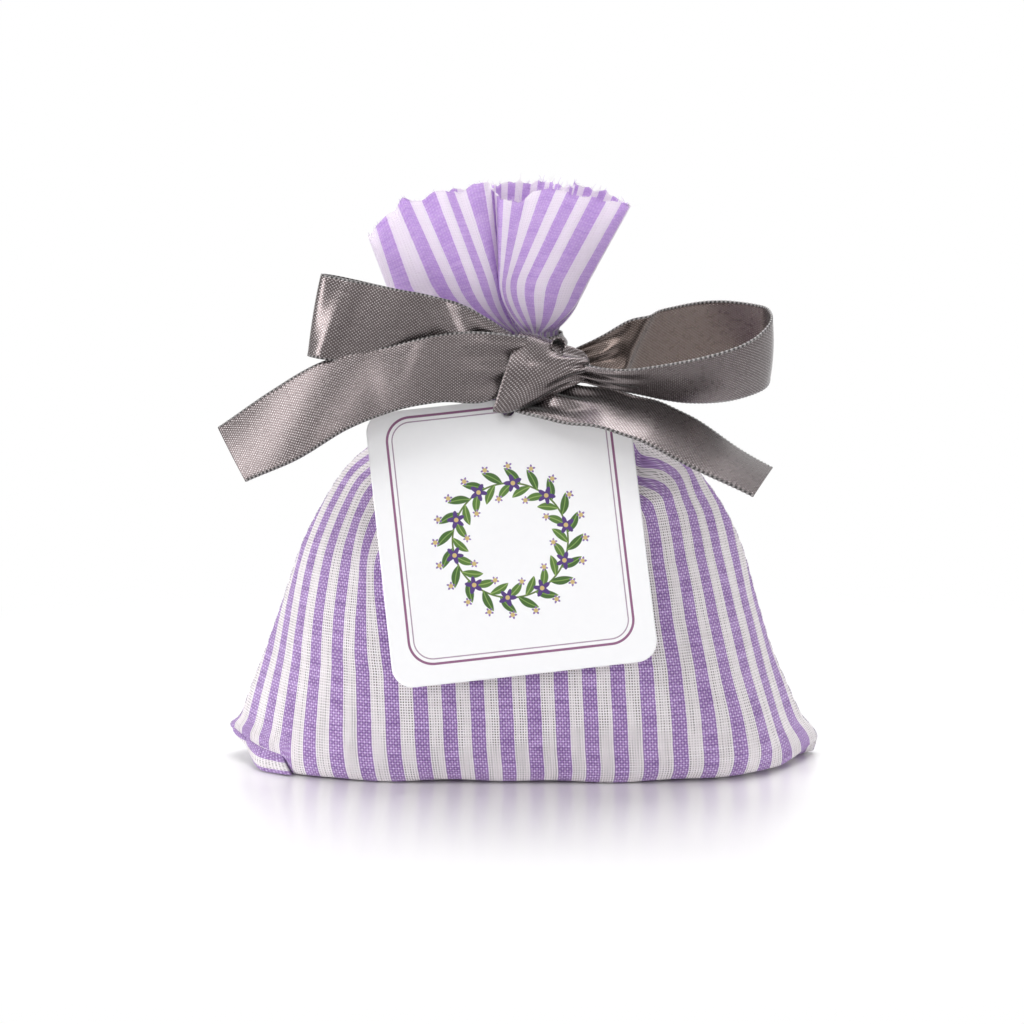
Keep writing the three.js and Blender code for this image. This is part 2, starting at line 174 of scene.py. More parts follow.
def strands(paths, radius, sides):  # round strands along many paths at once, as points and faces
    along = unit(np.gradient(paths, axis=1))
    steep = np.abs(along[..., 2:]) > 0.8
    side = unit(np.cross(along, np.where(steep, np.array([1.0, 0, 0]), np.array([0, 0, 1.0]))))
    up = np.cross(side, along)
    turn = np.linspace(0, 2 * np.pi, sides, endpoint=False)[:, None]
    ring = side[:, :, None] * np.cos(turn) + up[:, :, None] * np.sin(turn)
    points = paths[:, :, None] + radius[:, :, None, None] * ring
    count, steps = paths.shape[:2]
    first = np.arange(count)[:, None, None] * steps * sides
    return points, (gridFaces(steps, sides, closed=True)[None] + first).reshape(-1, 4)


# materials

def tint(r, g, b):  # a colour as it looks on screen, 0 to 255
    c = np.array([r, g, b]) / 255
    return (*np.where(c <= 0.04045, c / 12.92, ((c + 0.055) / 1.055) ** 2.4), 1.0)


class Value:  # a shader value that can be used in sums
    def __init__(self, paint, socket):
        self.paint, self.socket = paint, socket

    def maths(self, operation, *others):
        return self.paint.node("ShaderNodeMath", {"operation": operation}, dict(enumerate([self, *others])))

    def __rsub__(self, first):
        return self.paint.node("ShaderNodeMath", {"operation": "SUBTRACT"}, {0: first, 1: self})

    __add__ = __radd__ = partialmethod(maths, "ADD")
    __sub__ = partialmethod(maths, "SUBTRACT")
    __mul__ = __rmul__ = partialmethod(maths, "MULTIPLY")
    __truediv__ = partialmethod(maths, "DIVIDE")
    sin = partialmethod(maths, "SINE")
    cos = partialmethod(maths, "COSINE")
    abs = partialmethod(maths, "ABSOLUTE")
    fract = partialmethod(maths, "FRACT")
    root = partialmethod(maths, "SQRT")
    least = partialmethod(maths, "MINIMUM")
    most = partialmethod(maths, "MAXIMUM")
    angle = partialmethod(maths, "ARCTAN2")

    def step(self, low, high):  # smooth step from low to high, also where low is the greater
        return self.paint.node("ShaderNodeMapRange", {"interpolation_type": "SMOOTHSTEP"},
                               {"Value": self, "From Min": low, "From Max": high})


class Paint:  # one material, or the world, built node by node
    def __init__(self, name, library="materials"):
        self.owner = getattr(bpy.data, library).new(name)
        self.owner.use_nodes = True
        self.tree = self.owner.node_tree
        self.tree.nodes.clear()

    def node(self, kind, settings=None, inputs=None, out=0):
        made = self.tree.nodes.new(kind)
        for key, value in (settings or {}).items():
            setattr(made, key, value)
        for key, value in (inputs or {}).items():
            if isinstance(value, Value):
                self.tree.links.new(value.socket, made.inputs[key])
            else:
                made.inputs[key].default_value = value
        return Value(self, made.outputs[out]) if len(made.outputs) else None

    def uv(self, name):
        return self.node("ShaderNodeUVMap", {"uv_map": name})

    def parts(self, vector):
        made = self.node("ShaderNodeSeparateXYZ", None, {0: vector}).socket.node
        return [Value(self, o) for o in made.outputs]

    def colour(self, factor, a, b):
        return self.node("ShaderNodeMix", {"data_type": "RGBA"}, {0: factor, 6: a, 7: b}, 2)

    def noise(self, vector, scale, detail=3.0, rough=0.5):
        return self.node("ShaderNodeTexNoise", None,
                         {"Vector": vector, "Scale": scale, "Detail": detail, "Roughness": rough})

    def stretched(self, x, y, detail):  # noise over two values that each have their own stretch
        return self.noise(self.node("ShaderNodeCombineXYZ", None, {0: x, 1: y}), 1.0, detail)

    def bump(self, height, distance, strength=1.0):
        inputs = {"Height": height, "Distance": distance, "Strength": strength}
        return self.node("ShaderNodeBump", None, inputs)

    def mixed(self, factor, a, b):  # two shaders
        return self.node("ShaderNodeMixShader", None, {0: factor, 1: a, 2: b})

    def finish(self, shader, output="ShaderNodeOutputMaterial"):
        self.node(output, None, {"Surface": shader})
        return self.owner

    def surface(self, **inputs):
        named = {key.replace("_", " "): value for key, value in inputs.items()}
        return self.finish(self.node("ShaderNodeBsdfPrincipled", None, named))


# camera

cameraSetup = dict(distance=620, elevation=9.0, target=(0, 0, 55), aim=(-1.96, -0.91, 49.27), lens=111.2)


def makeCamera(c):
    tilt = math.radians(c["elevation"])
    data = bpy.data.cameras.new("camera")
    data.sensor_width, data.lens = 36, c["lens"]
    data.clip_start, data.clip_end = 0.01, 30
    obj = bpy.data.objects.new("camera", data)
    scene.collection.objects.link(obj)
    place = Vector(c["target"]) + c["distance"] * Vector((0, -math.cos(tilt), math.sin(tilt)))
    obj.location = place * mm
    obj.rotation_mode = "QUATERNION"
    obj.rotation_quaternion = (Vector(c["aim"]) - place).to_track_quat("-Z", "Y")
    scene.camera = obj


makeCamera(cameraSetup)
print("camera made")


# bag

# a stripe pair, and the spacing of the upright and of the level yarns
weave = dict(pitch=5.35, end=0.486, pick=0.52)


def stripedCotton():
    look = dict(litRuffle=(104, 118), middle=66, pressedAndShadedWide=(50, 14), pressedAndShadedTall=(112, 76))
    p = Paint("stripedCotton")
    cloth = p.uv("cloth")
    across, along, _ = p.parts(cloth)
    u, v = across * 1000, along * 1000
    drift = p.noise(cloth, 900, 2.0) - 0.5
    band = ((u + drift * 0.14) / weave["pitch"]).fract()
    lilac = (band - 0.5).abs().step(0.266, 0.24)  # the coloured half of each pair
    e = (u + drift * 0.12) * (math.pi / weave["end"])
    k = (v + drift * 0.16) * (math.pi / weave["pick"])
    crossing = e.sin() * k.sin()  # above 0 the upright yarn lies on top, below 0 the level one
    over = crossing.step(-0.35, -0.92)
    gap = (e.cos() * k.cos()).abs().step(0.4, 0.92)  # the open corner between four yarns
    ends = p.stretched(u * 1.3, v * 0.07, 2.0)  # uneven upright yarns
    picks = p.stretched(u * 0.1, v * 1.7, 2.0)  # uneven level yarns
    shade = (p.noise(cloth, 500, 3.0, 0.6) * 0.4 + picks * 0.6).step(0.3, 0.7)
    litRuffle = v.step(*look["litRuffle"])  # the ruffle, with nothing dark behind it; its yarn colours are painted lighter there, painted light for the light that comes through it
    # the lower front's middle, where the gaps are darker: partly the filling showing through, partly painted
    # shade below the tag
    pressedAndShaded = (u - look["middle"]).abs().step(*look["pressedAndShadedWide"]) * v.step(*look["pressedAndShadedTall"])
    # painted light: on the ruffle the yarns take lighter colours than the same cloth on the body
    yarn = p.colour(shade, p.colour(litRuffle, tint(142, 106, 170), tint(202, 168, 228)),
                    p.colour(litRuffle, tint(193, 160, 217), tint(234, 208, 250)))
    purple = p.colour(over * (0.45 + shade * 0.4), yarn, tint(242, 232, 250))
    # painted shade, in part: the gaps darken further over the lower front's middle
    purple = p.colour(gap * (0.55 + 0.35 * pressedAndShaded) * (1 - 0.75 * litRuffle), purple, tint(84, 58, 108))
    white = p.colour(shade * 0.6 + ends * 0.4, p.colour(litRuffle, tint(226, 219, 222), tint(251, 244, 252)),
                     p.colour(litRuffle, tint(250, 245, 248), tint(255, 252, 255)))
    uneven = (0.32 + 0.66 * ends.step(0.42, 0.62)) * (0.68 + 0.64 * picks)
    parted = gap * uneven * (0.9 + 0.7 * pressedAndShaded) * (1 - 0.8 * litRuffle)
    white = p.colour(parted.least(1.0), white, tint(102, 96, 94))
    colour = p.colour(lilac, white, purple)
    height = crossing.abs() * 0.8 + drift * 0.4 + picks * 0.4 + ends * 0.3 - gap * 0.6
    solid = p.node("ShaderNodeBsdfPrincipled", None, {
        "Base Color": colour, "Roughness": 0.9, "Specular IOR Level": 0.2,
        "Sheen Weight": 0.2, "Sheen Roughness": 0.5, "Normal": p.bump(height, 0.00014, 0.6)})
    # the light that comes through takes one colour in each kind of stripe
    glow = tint(250, 244, 251), tint(216, 187, 236)
    pale, deep = (p.node("ShaderNodeBsdfTranslucent", None, {"Color": c}) for c in glow)
    return p.finish(p.mixed(0.06 + 0.38 * litRuffle, solid, p.mixed(lilac, pale, deep)))


bag = dict(
    panelWidth=128.4,  # 24 stripe pairs from seam to seam
    columns=150,  # of each panel
    level=[0, 1.0, 3.0, 7, 12, 22, 31, 42, 50, 58, 63.5, 67, 70, 73],
    half=[58.6, 58.4, 57.8, 56.0, 54, 49.9, 46.9, 43.4, 39.5, 33.9, 27.6, 21.0, 13.2, 6.4],
    front=[22.4, 23.2, 24.0, 24.8, 25.1, 24.9, 23.2, 19.9, 17.3, 14.6, 12.4, 10.7, 8.8, 6.0],
    back=[19.6, 20.4, 21.2, 22.1, 22.5, 22.5, 20.9, 17.9, 15.6, 13.2, 11.2, 9.7, 8.0, 6.0],
    middle=[0.4, 0.4, 0.3, -0.1, -0.4, -0.6, -0.4, -0.1, 0, -0.3, 0, 0.5, 1.0, 1.5],
    seamBack=3.0,  # how far back the side seams meet the floor
    flatBase=2.2,  # the power that squares the section at the base
    bodyTop=73,
    baseRows=7,
    bodyRows=84,
    rightLift=2.4,  # of the corners off the floor
    leftLift=3.0,
    cornerLift=1.4,
    clear=0.25,  # of the base over the floor
    neckX=1.5,
    neckRadius=5.2,
    neckFoot=75,
    neckTop=85.0,
    neckRows=7,
    neckPleats=26,
    pleatDepth=0.06,  # as a share of the neck's radius
    ruffleRows=46,
    ruffleDraw=2.2,  # how strongly the ruffle leans out as it leaves the neck
    foldLevel=0.42,  # where the ruffle's straight part begins, as a share of its height
    calmLevel=90.0,  # a height past the slip and the puckers
    backShift=2.67,  # half a stripe pair
    thick=0.45,
    folds=15,
    lumps=46,
    seed=11,
)

# how far the front's stripes have slipped to the side at each height: at the left seam, at the right seam,
# in the middle, and between the middle and the seams
slip = dict(
    level=[0, 12, 22, 31, 42, 50, 58, 64, 76],
    left=[7.8, 9.8, 11.8, 14.3, 17.3, 19.6, 20.6, 21.2, 0],
    right=[1.3, 0.1, -0.8, -1.9, -4.5, -7.8, -9.2, -9.5, 0],
    middle=[0.9, 0.2, -0.1, 0.6, 1.4, 1.8, 2.9, 4.3, 0],
    quarter=[10.3, 7.6, 4.7, 2.0, -0.3, -1.2, -0.4, 0.8, 0],
)
# puckers beside the tag: x, height, half width, half height, slip of the stripes, rise of the cloth
puckers = [
    (21.5, 59.5, 4.0, 5.0, 5.0, -2.0), (24.5, 53.6, 5.0, 2.3, 0, 1.9), (31.0, 57.5, 4.0, 3.5, -1.6, 0.6),
    (-28.6, 60.0, 3.5, 4.0, -2.0, -0.6), (-27.6, 40.0, 2.6, 8.0, 2.4, -0.6), (-30.6, 47.0, 2.0, 8.0, 0, 0.9),
]

# the ruffle's front in plan: cloth coordinate from the left seam, x, y and, at the cut edge, height
ruffleFront = [
    (0, -24.5, 4.0, 104.5), (5, -28.0, 3.6, 104), (12, -20.0, 2.4, 105), (20.5, -29.8, -0.4, 103.2),
    (22, -28.6, -2.0, 104.6), (24.1, -27.4, -3.0, 106), (27, -24.6, -4.4, 108.6),
    (29.4, -22.9, -5.2, 111.0), (31.8, -20.6, -5.6, 110.2), (34.8, -18.0, -6.4, 111.2),
    (37.6, -15.3, -7.0, 112.6), (40.1, -13.9, -7.2, 112.6), (42.8, -12.0, -7.2, 111.8),
    (45.5, -9.2, -7.4, 113.6), (47.5, -6.7, -7.0, 113.9), (49.5, -6.0, -3.2, 113), (52, -5.4, -2.6, 112),
    (55, -4.8, -5.2, 111), (57.5, -3.6, -6.8, 110.6), (61.5, -0.9, -7.4, 110.6), (64, 1.9, -7.9, 112),
    (66.9, 5.2, -8.2, 112.8), (72.2, 9.7, -8.0, 112), (77.6, 14.6, -6.8, 110.6),
    (82.9, 20.0, -4.4, 109.8), (85.5, 20.8, -3.1, 109.4), (96, 9.5, -2.0, 110), (106, 20.4, -0.2, 109),
    (117, 11.0, 1.6, 109.6), (128.4, 17.5, 3.4, 108.5),
]
foldsFront = [
    (0, -19.5, 4.5), (5, -23.0, 4.0), (12, -15.0, 3.0), (20.5, -26.0, 0.3), (24.1, -23.2, -2.4),
    (29.4, -16.3, -5.0), (34.8, -11.8, -6.2), (40.1, -7.9, -6.8), (45.5, -5.2, -6.4), (48, -4.6, -3.2),
    (51, -4.2, -2.6), (54.5, -4.6, -5.4), (57.5, -4.3, -7.4), (61.5, -3.4, -8.0), (66.9, -1.2, -7.7),
    (72.2, 2.1, -7.6), (77.6, 6.7, -6.8), (82.9, 12.0, -4.2), (85.5, 13.2, -2.8), (96, 4.0, -1.6),
    (106, 13.0, 0.4), (117, 5.0, 2.2), (128.4, 9.5, 3.4),
]
# its back in plan: x, y and, at the cut edge, height
ruffleBack = [
    (17.5, 3.4, 108.5), (20.2, 5.0, 109), (16.5, 8.6, 111), (11.0, 9.0, 112.4), (8.8, 4.6, 112.4),
    (7.2, 4.8, 112.6), (5.0, 9.2, 113), (-1.5, 9.8, 113), (-5.6, 8.2, 112.6), (-6.0, 4.8, 112),
    (-8.0, 5.0, 112), (-9.4, 9.0, 112), (-16.0, 9.4, 111), (-18.6, 5.6, 109.6), (-20.4, 6.0, 109),
    (-22.4, 8.4, 107.6), (-27.0, 6.4, 105), (-24.5, 4.0, 104.5),
]
foldsBack = [
    (9.5, 3.4), (12.0, 4.6), (10.0, 7.6), (6.6, 7.8), (5.6, 4.6), (4.6, 4.8), (3.0, 8.0), (-1.5, 8.6),
    (-4.4, 7.6), (-4.8, 4.8), (-6.2, 5.0), (-7.4, 8.2), (-12.0, 8.4), (-14.0, 5.6), (-15.4, 5.8),
    (-17.0, 8.0), (-21.0, 6.4), (-19.5, 4.5),
]


def panelSection(half, reach, flat, n):
    # an arc from the left seam to the right one, made squarer by a power, in n equal steps of its length
    u = np.linspace(-1, 1, 601)[None]
    swing = 2 * np.arctan(reach / half)
    x = half * np.sin(u * swing) / np.sin(swing)
    arc = (np.cos(u * swing) - np.cos(swing)) / (1 - np.cos(swing))
    y = reach * (1 - np.clip(1 - arc, 0, 1) ** flat)
    run = np.cumsum(np.hypot(np.diff(x, axis=1, prepend=x[:, :1]), np.diff(y, axis=1, prepend=y[:, :1])), 1)
    at = np.linspace(0, 1, n + 1)
    even = [[np.interp(at, r / r[-1], a), np.interp(at, r / r[-1], b)] for r, a, b in zip(run, x, y)]
    return np.array(even).transpose(1, 0, 2)


def gathers(u, z, seed, c):
    # ridges that run down from the neck, each with its own place, width, height and length,
    # and the filling's soft lumps
    r = np.random.default_rng(seed)
    n = c["folds"]
    at = np.linspace(-0.94, 0.94, n) + r.uniform(-0.05, 0.05, n)
    wide, tall, foot = r.uniform(0.028, 0.055, n), r.uniform(0.5, 1.2, n), r.uniform(34, 60, n)
    span = [a[:, None, None] for a in (at, wide, tall, foot)]
    rise = np.clip((z - span[3]) / (c["bodyTop"] - span[3]), 0, 1)
    ridge = span[2] * rise ** 1.6 * (np.exp(-((u - span[0]) / span[1]) ** 2)
                                     - 0.6 * np.exp(-((u - span[0] - 2.1 * span[1]) / span[1]) ** 2))
    m = c["lumps"]
    lump = [a[:, None, None] for a in (r.uniform(-1, 1, m), r.uniform(2, 66, m), r.uniform(0.09, 0.2, m),
                                      r.uniform(-0.55, 0.75, m))]
    soft = lump[3] * np.exp(-((u - lump[0]) / lump[2]) ** 2 - ((z - lump[1]) / (64 * lump[2])) ** 2)
    return ridge.sum(0) + soft.sum(0) * (1 - smooth(56, 70, z)) * smooth(0, 6, z)


def bagBody(c, s, z, share):
    # the two panels' sections at each height, with their gathers, puckers and lifted corners
    half, front, back, middle = (through(c["level"], c[k], z) for k in ("half", "front", "back", "middle"))
    half = half * mix(0.97, 1, share)
    seam = c["seamBack"] * (1 - z / c["bodyTop"])
    flat = mix(c["flatBase"], 1, z / c["bodyTop"])
    panels = []
    for side, depth, seed in ((-1, front + seam, c["seed"]), (1, back - seam, c["seed"] + 1)):
        x, y = panelSection(asColumn(half), asColumn(depth), asColumn(flat), c["columns"])
        x, y = x + asColumn(middle), asColumn(seam) + side * y * asColumn(share)
        dx, dy = np.gradient(x, axis=1), np.gradient(y, axis=1)
        size = np.hypot(dx, dy)
        fold = gathers(s[None], asColumn(z), seed, c)
        for px, pz, wide, tall, _, rise in puckers if side < 0 else []:
            fold = fold + rise * np.exp(-((x - px) / wide) ** 2 - ((asColumn(z) - pz) / tall) ** 2)
        fold = fold * asColumn(np.where(share < 1, 0, 1)) * (1 - smooth(0.93, 1, np.abs(s)))
        place = (x - asColumn(middle)) / asColumn(half)
        x, y = x - side * dy / size * fold, y + side * dx / size * fold
        # both corners stand off the floor, the left one on a tuck with a sharp fold beside it
        right = c["rightLift"] * smooth(0.84, 1, place)
        left = c["leftLift"] * smooth(0.765, 0.81, -place) + c["cornerLift"] * smooth(0.82, 1, -place)
        foot = 0.35 * (1 + np.sin(x * 0.21 + 1.1) * np.sin(x * 0.083)) * asColumn(smooth(0.6, 1, share))
        lift = (right * asColumn(smooth(0.4, 1, share)) + left) * asColumn(1 - smooth(0, 9, z))
        lift = lift + foot * asColumn(1 - smooth(0, 4, z))
        panel = np.stack([x, y, asColumn(z) + c["clear"] + lift], -1)
        panels.append(panel[:, :-1] if side < 0 else panel[:, :0:-1])
    return np.concatenate(panels, 1)


def ruffleLine(front, back, reach, n):
    # the front's table over the cloth coordinate, then the back's in equal steps of its length
    knots = [row[0] for row in front]
    ahead = [through(knots, [row[i] for row in front], reach) for i in range(1, len(front[0]))]
    return np.concatenate([np.stack(ahead, 1), evenly(curveThrough(back, 1600), n + 1, 2)[0][:-1]])


def bagRuffle(c, s):
    # the neck, a ring with small pleats, then the ruffle: out to its folds and on, straight, to its cut edge
    n, radius, level = c["columns"], c["neckRadius"], c["foldLevel"]
    reach = c["panelWidth"] * (s[:-1] + 1) / 2
    edge = ruffleLine(ruffleFront, ruffleBack, reach, n)
    folds = ruffleLine(foldsFront, foldsBack, reach, n)
    around = np.concatenate([s[:-1], s[:-1] + 2])
    turn = np.pi * (around + 1) / 2
    pleat = 1 + c["pleatDepth"] * np.cos(c["neckPleats"] * turn + 0.8 * np.sin(5 * turn))
    ring = np.stack([c["neckX"] - radius * np.cos(turn) * pleat, -radius * np.sin(turn) * pleat], -1)
    heights = np.linspace(c["neckFoot"], c["neckTop"], c["neckRows"])
    neck = [np.concatenate([ring, np.full((2 * n, 1), h)], 1) for h in heights]
    t = np.linspace(0, 1, c["ruffleRows"] + 1)[1:, None, None]
    slope = (edge[:, :2] - folds) / (1 - level)
    q = np.clip(t / level, 0, 1)
    lower = (ring * (1 + 2 * q) * (1 - q) ** 2 + c["ruffleDraw"] * (folds - ring) * q * (1 - q) ** 2
             + folds * q * q * (3 - 2 * q) + slope * level * q * q * (q - 1))
    plan = np.where(t < level, lower, folds + slope * (t - level))
    ragged = 0.2 * np.sin(around * 37) + 0.2 * np.sin(around * 71 + 1) + 0.15 * np.sin(around * 127 + 2)
    height = mix(c["neckTop"], edge[:, 2] + ragged, t[..., 0])
    return np.concatenate([np.stack(neck), np.concatenate([plan, height[..., None]], -1)])


def bagLayout(c, s, z, points):
    # cloth coordinates: across from the left seam with the slip, along from the base up the front's middle
    n, w = c["columns"], c["panelWidth"]
    run = np.concatenate([[0], np.cumsum(np.linalg.norm(np.diff(points[:, n // 2], axis=0), axis=1))])
    tall = np.concatenate([z, np.full(len(points) - len(z), c["calmLevel"])])
    left, right, centre, quarter = (asColumn(np.interp(tall, slip["level"], slip[k]))
                                    for k in ("left", "right", "middle", "quarter"))
    plain = w * (s + 1) / 2
    across = plain + left * (1 - s) / 2 + right * (1 + s) / 2 + (centre + quarter * s) * (1 - s * s)
    x = points[:, :n + 1, 0]
    for px, pz, wide, high, slipped, _ in puckers:
        across = across + slipped * np.exp(-((x - px) / wide) ** 2 - ((asColumn(tall) - pz) / high) ** 2)
    behind = np.broadcast_to(plain + w + c["backShift"], across.shape)
    return [paired(np.concatenate(sides, 1), asColumn(run))
            for sides in ((across[:, :-1], behind[:, :-1]), (across[:, 1:], behind[:, 1:]))]


def bagSurface(c):
    s = np.linspace(-1, 1, c["columns"] + 1)
    z = np.concatenate([np.zeros(c["baseRows"]), c["bodyTop"] * np.linspace(0, 1, c["bodyRows"]) ** 1.25])
    share = np.concatenate([np.linspace(0.03, 0.94, c["baseRows"]), np.ones(c["bodyRows"])])
    points = np.concatenate([bagBody(c, s, z, share), bagRuffle(c, s)])
    return points, *bagLayout(c, s, z, points)


# the rows that swell are the base's, the body's and most of the neck's; each hold fades between two values
swell = dict(pressure=40.0, cap=1.3, frames=20, rows=97, step=3, footHeld=(1, 7), neckHeld=(63, 71),
             seamHeld=(1, 6))


def clothSwell(points, c):
    # the filling's push: a coarse copy of the body is run as cloth under pressure, held at its foot, seams
    # and neck, and how far it moves, capped, is carried back to the fine grid by a smooth curve each way
    coarse = points[:c["rows"]:c["step"], ::c["step"]]
    count, around = coarse.shape[:2]
    trial = meshPiece("clothTrial", coarse, gridFaces(count, around, closed=True))
    column = np.arange(around) % (around // 2)
    seam = 1 - smooth(*c["seamHeld"], np.minimum(column, around // 2 - column))
    foot, neck = 1 - smooth(*c["footHeld"], coarse[..., 2]), smooth(*c["neckHeld"], coarse[..., 2])
    grip = np.maximum(np.maximum(foot, neck), seam)
    grip = np.round(grip, 1).ravel()
    held = trial.vertex_groups.new(name="held")
    for weight in np.unique(grip):
        held.add(np.flatnonzero(grip == weight).tolist(), float(weight), "REPLACE")
    cloth = trial.modifiers.new("cloth", "CLOTH")
    cloth.settings.vertex_group_mass = "held"
    cloth.settings.use_pressure = True
    cloth.settings.uniform_pressure_force = c["pressure"]
    cloth.settings.effector_weights.gravity = 0
    cloth.collision_settings.use_collision = False
    for f in range(1, c["frames"] + 1):
        scene.frame_set(f)
    made = np.empty(coarse.size, np.float32)
    trial.evaluated_get(bpy.context.evaluated_depsgraph_get()).data.vertices.foreach_get("co", made)
    move = made.reshape(coarse.shape) / mm - coarse
    size = np.linalg.norm(move, axis=-1, keepdims=True)
    print("cloth moved", size.mean().round(2), "mm, at most", size.max().round(2), "mm")
    move = move * np.minimum(1, c["cap"] / np.maximum(size, 1e-9))
    bpy.data.objects.remove(trial)
    scene.frame_set(1)
    up = curveThrough(np.eye(count), c["rows"])
    ring = np.eye(around)[np.arange(-1, around + 2) % around]
    side = curveThrough(ring, (around + 2) * c["step"] + 1)[c["step"]:c["step"] + points.shape[1]]
    return np.einsum("ai,ijk,bj->abk", up, move, side)


bagPoints, bagLeft, bagRight = bagSurface(bag)
bagPoints[:swell["rows"]] += clothSwell(bagPoints, swell)
stripedBag = tubePiece("stripedBag", bagPoints, bagLeft, bagRight)
cotton = stripedCotton()
thicken(stripedBag, bag["thick"], -1)
dress(stripedBag, cotton, "striped_cotton", "sachet", "bag_front_panel", "bag_back_panel")
print("bag made", len(stripedBag.data.polygons), "faces")


neckFill = dict(radius=5.5, top=86.5, deep=7.0, pleats=13, rings=16, around=208, thick=0.3,
                clothFoot=126, clothRise=8)


def neckFolds(c):
    # the gathered cloth seen down the ruffle: a funnel of pleats that crowd together towards the middle
    r = np.linspace(0.04, 1, c["rings"])[:, None]
    turn = np.linspace(0, 2 * np.pi, c["around"], endpoint=False)[None]
    pleat = np.cos(c["pleats"] * turn + 0.9 * np.sin(3 * turn) + 1.5 * r)
    z = c["top"] - c["deep"] * (1 - r) ** 1.5 + 1.3 * pleat * r * (1.2 - r)
    points = np.stack([bag["neckX"] + c["radius"] * r * np.cos(turn), c["radius"] * r * np.sin(turn), z], -1)
    grids = [paired((turn + k) * bag["panelWidth"] / np.pi, c["clothFoot"] + c["clothRise"] * r)
             for k in (0, 2 * np.pi / c["around"])]
    return points, *grids


neckPleats = tubePiece("neckPleats", *neckFolds(neckFill))
thicken(neckPleats, neckFill["thick"], 0)
dress(neckPleats, cotton, "striped_cotton", "sachet")
print("neck's pleats made")


# filling

filling = dict(inset=2.6, sideGap=1.5, foot=1.6, top=66.0, rows=70, columns=90, bud=1.1)


def fillSection(half, reach, u, side):  # an arc from seam to seam, and its outward direction
    swing = 2 * np.arctan(reach / half)
    x = half * np.sin(u * swing) / np.sin(swing)
    y = side * reach * (np.cos(u * swing) - np.cos(swing)) / (1 - np.cos(swing))
    return x, y, np.sin(u * swing), side * np.cos(u * swing)


def fillingSurface(c):
    # the bag's own section drawn in, closed at both ends, with a pebbled face of rounded buds
    z = mix(c["foot"], c["top"], np.linspace(0, 1, c["rows"]))
    half, front, back = (through(bag["level"], bag[k], z) - c["inset"] for k in ("half", "front", "back"))
    seam = bag["seamBack"] * (1 - z / bag["bodyTop"])
    ends = np.sqrt(np.clip(1 - np.abs(2 * np.linspace(0, 1, c["rows"]) - 1) ** 14, 0, 1))
    u = np.linspace(-1, 1, c["columns"] + 1)[:-1]
    level, sides = asColumn(z), []
    for side, depth in ((-1, front + seam), (1, back - seam)):
        x, y, nx, ny = fillSection(asColumn(half - c["sideGap"]), asColumn(depth), u[None] * -side, side)
        wave = np.sin(u[None] * 61 + 2 * np.sin(level * 0.9))
        bud = np.abs(wave * np.sin(level * 1.5 + 2 * np.sin(u[None] * 23)))
        x, y = x + nx * (bud - 1) * c["bud"], y + ny * (bud - 1) * c["bud"]
        sides.append(np.stack([x * asColumn(ends) + bag["neckX"] * level / bag["bodyTop"],
                               asColumn(seam) + y * asColumn(ends), np.broadcast_to(level, x.shape)], -1))
    return np.concatenate(sides, 1)


def driedLavender():
    p = Paint("driedLavender")
    at = p.node("ShaderNodeTexCoord", None, None, "Object")
    cell = p.node("ShaderNodeTexVoronoi", None, {"Vector": at, "Scale": 420.0})
    mottle = p.noise(at, 300, 4.0, 0.6)
    colour = p.colour(mottle, tint(70, 58, 98), tint(126, 112, 142))
    colour = p.colour(cell.step(0.35, 0.75), colour, tint(104, 98, 74))
    return p.surface(Base_Color=colour, Roughness=0.95, Normal=p.bump(1 - cell, 0.0006, 0.8))


fillPoints = fillingSurface(filling)
flowers = meshPiece("driedFlowers", fillPoints, gridFaces(*fillPoints.shape[:2], closed=True))
dress(flowers, driedLavender(), "dried_lavender", "sachet", "lavender_filling")
print("filling made")


# ribbon

ribbon = dict(width=16.0, thick=0.34, bead=0.3, beadStep=0.85, columns=25, steps=460, gatherLong=15,
              reverseAt=100)


def satinRibbon():
    look = dict(dotAlong=0.74, dotAcross=0.66, edgeFrom=7.55, edgeFade=0.14)
    p = Paint("satinRibbon")
    laid = p.uv("ribbon")
    along, across, _ = p.parts(laid)
    s, w = along * 1000, across * 1000
    over = ribbon["reverseAt"]
    back = w.step(over / 2 - 1, over / 2 + 1)  # the reverse face is laid out that much further over
    t = w - back * over
    lattice = (s * (2 * math.pi / look["dotAlong"])).cos() * (t * (2 * math.pi / look["dotAcross"])).cos()
    fine = p.noise(laid, 900, 3.0, 0.6)
    dot = (lattice + fine * 0.6).step(0.5, 1.2)
    streak = p.stretched(s * 0.3, t * 3.2, 3.0)
    edge = t.abs().step(look["edgeFrom"], look["edgeFrom"] + look["edgeFade"])
    bead = (s * (2 * math.pi / ribbon["beadStep"])).cos().step(-0.5, 0.7)
    ground = p.colour(streak, tint(72, 65, 65), tint(102, 93, 93))
    face = p.colour(dot * 0.66, ground, tint(196, 190, 191))
    rear = p.colour(dot * 0.6, tint(92, 80, 75), tint(190, 179, 174))
    # painted shade: the edge is near black in the troughs between its beads
    hem = p.colour(bead, tint(40, 37, 37), tint(146, 141, 141))
    colour = p.colour(edge, p.colour(back, face, rear), hem)
    height = dot * 0.6 + streak * 0.4
    return p.surface(Base_Color=colour, Metallic=(1 - edge) * (0.92 - 0.25 * dot),
                     Roughness=0.23 + 0.1 * fine, Sheen_Weight=0.25, Sheen_Roughness=0.35,
                     Normal=p.bump(height, 0.00005, 0.45))


satin = satinRibbon()


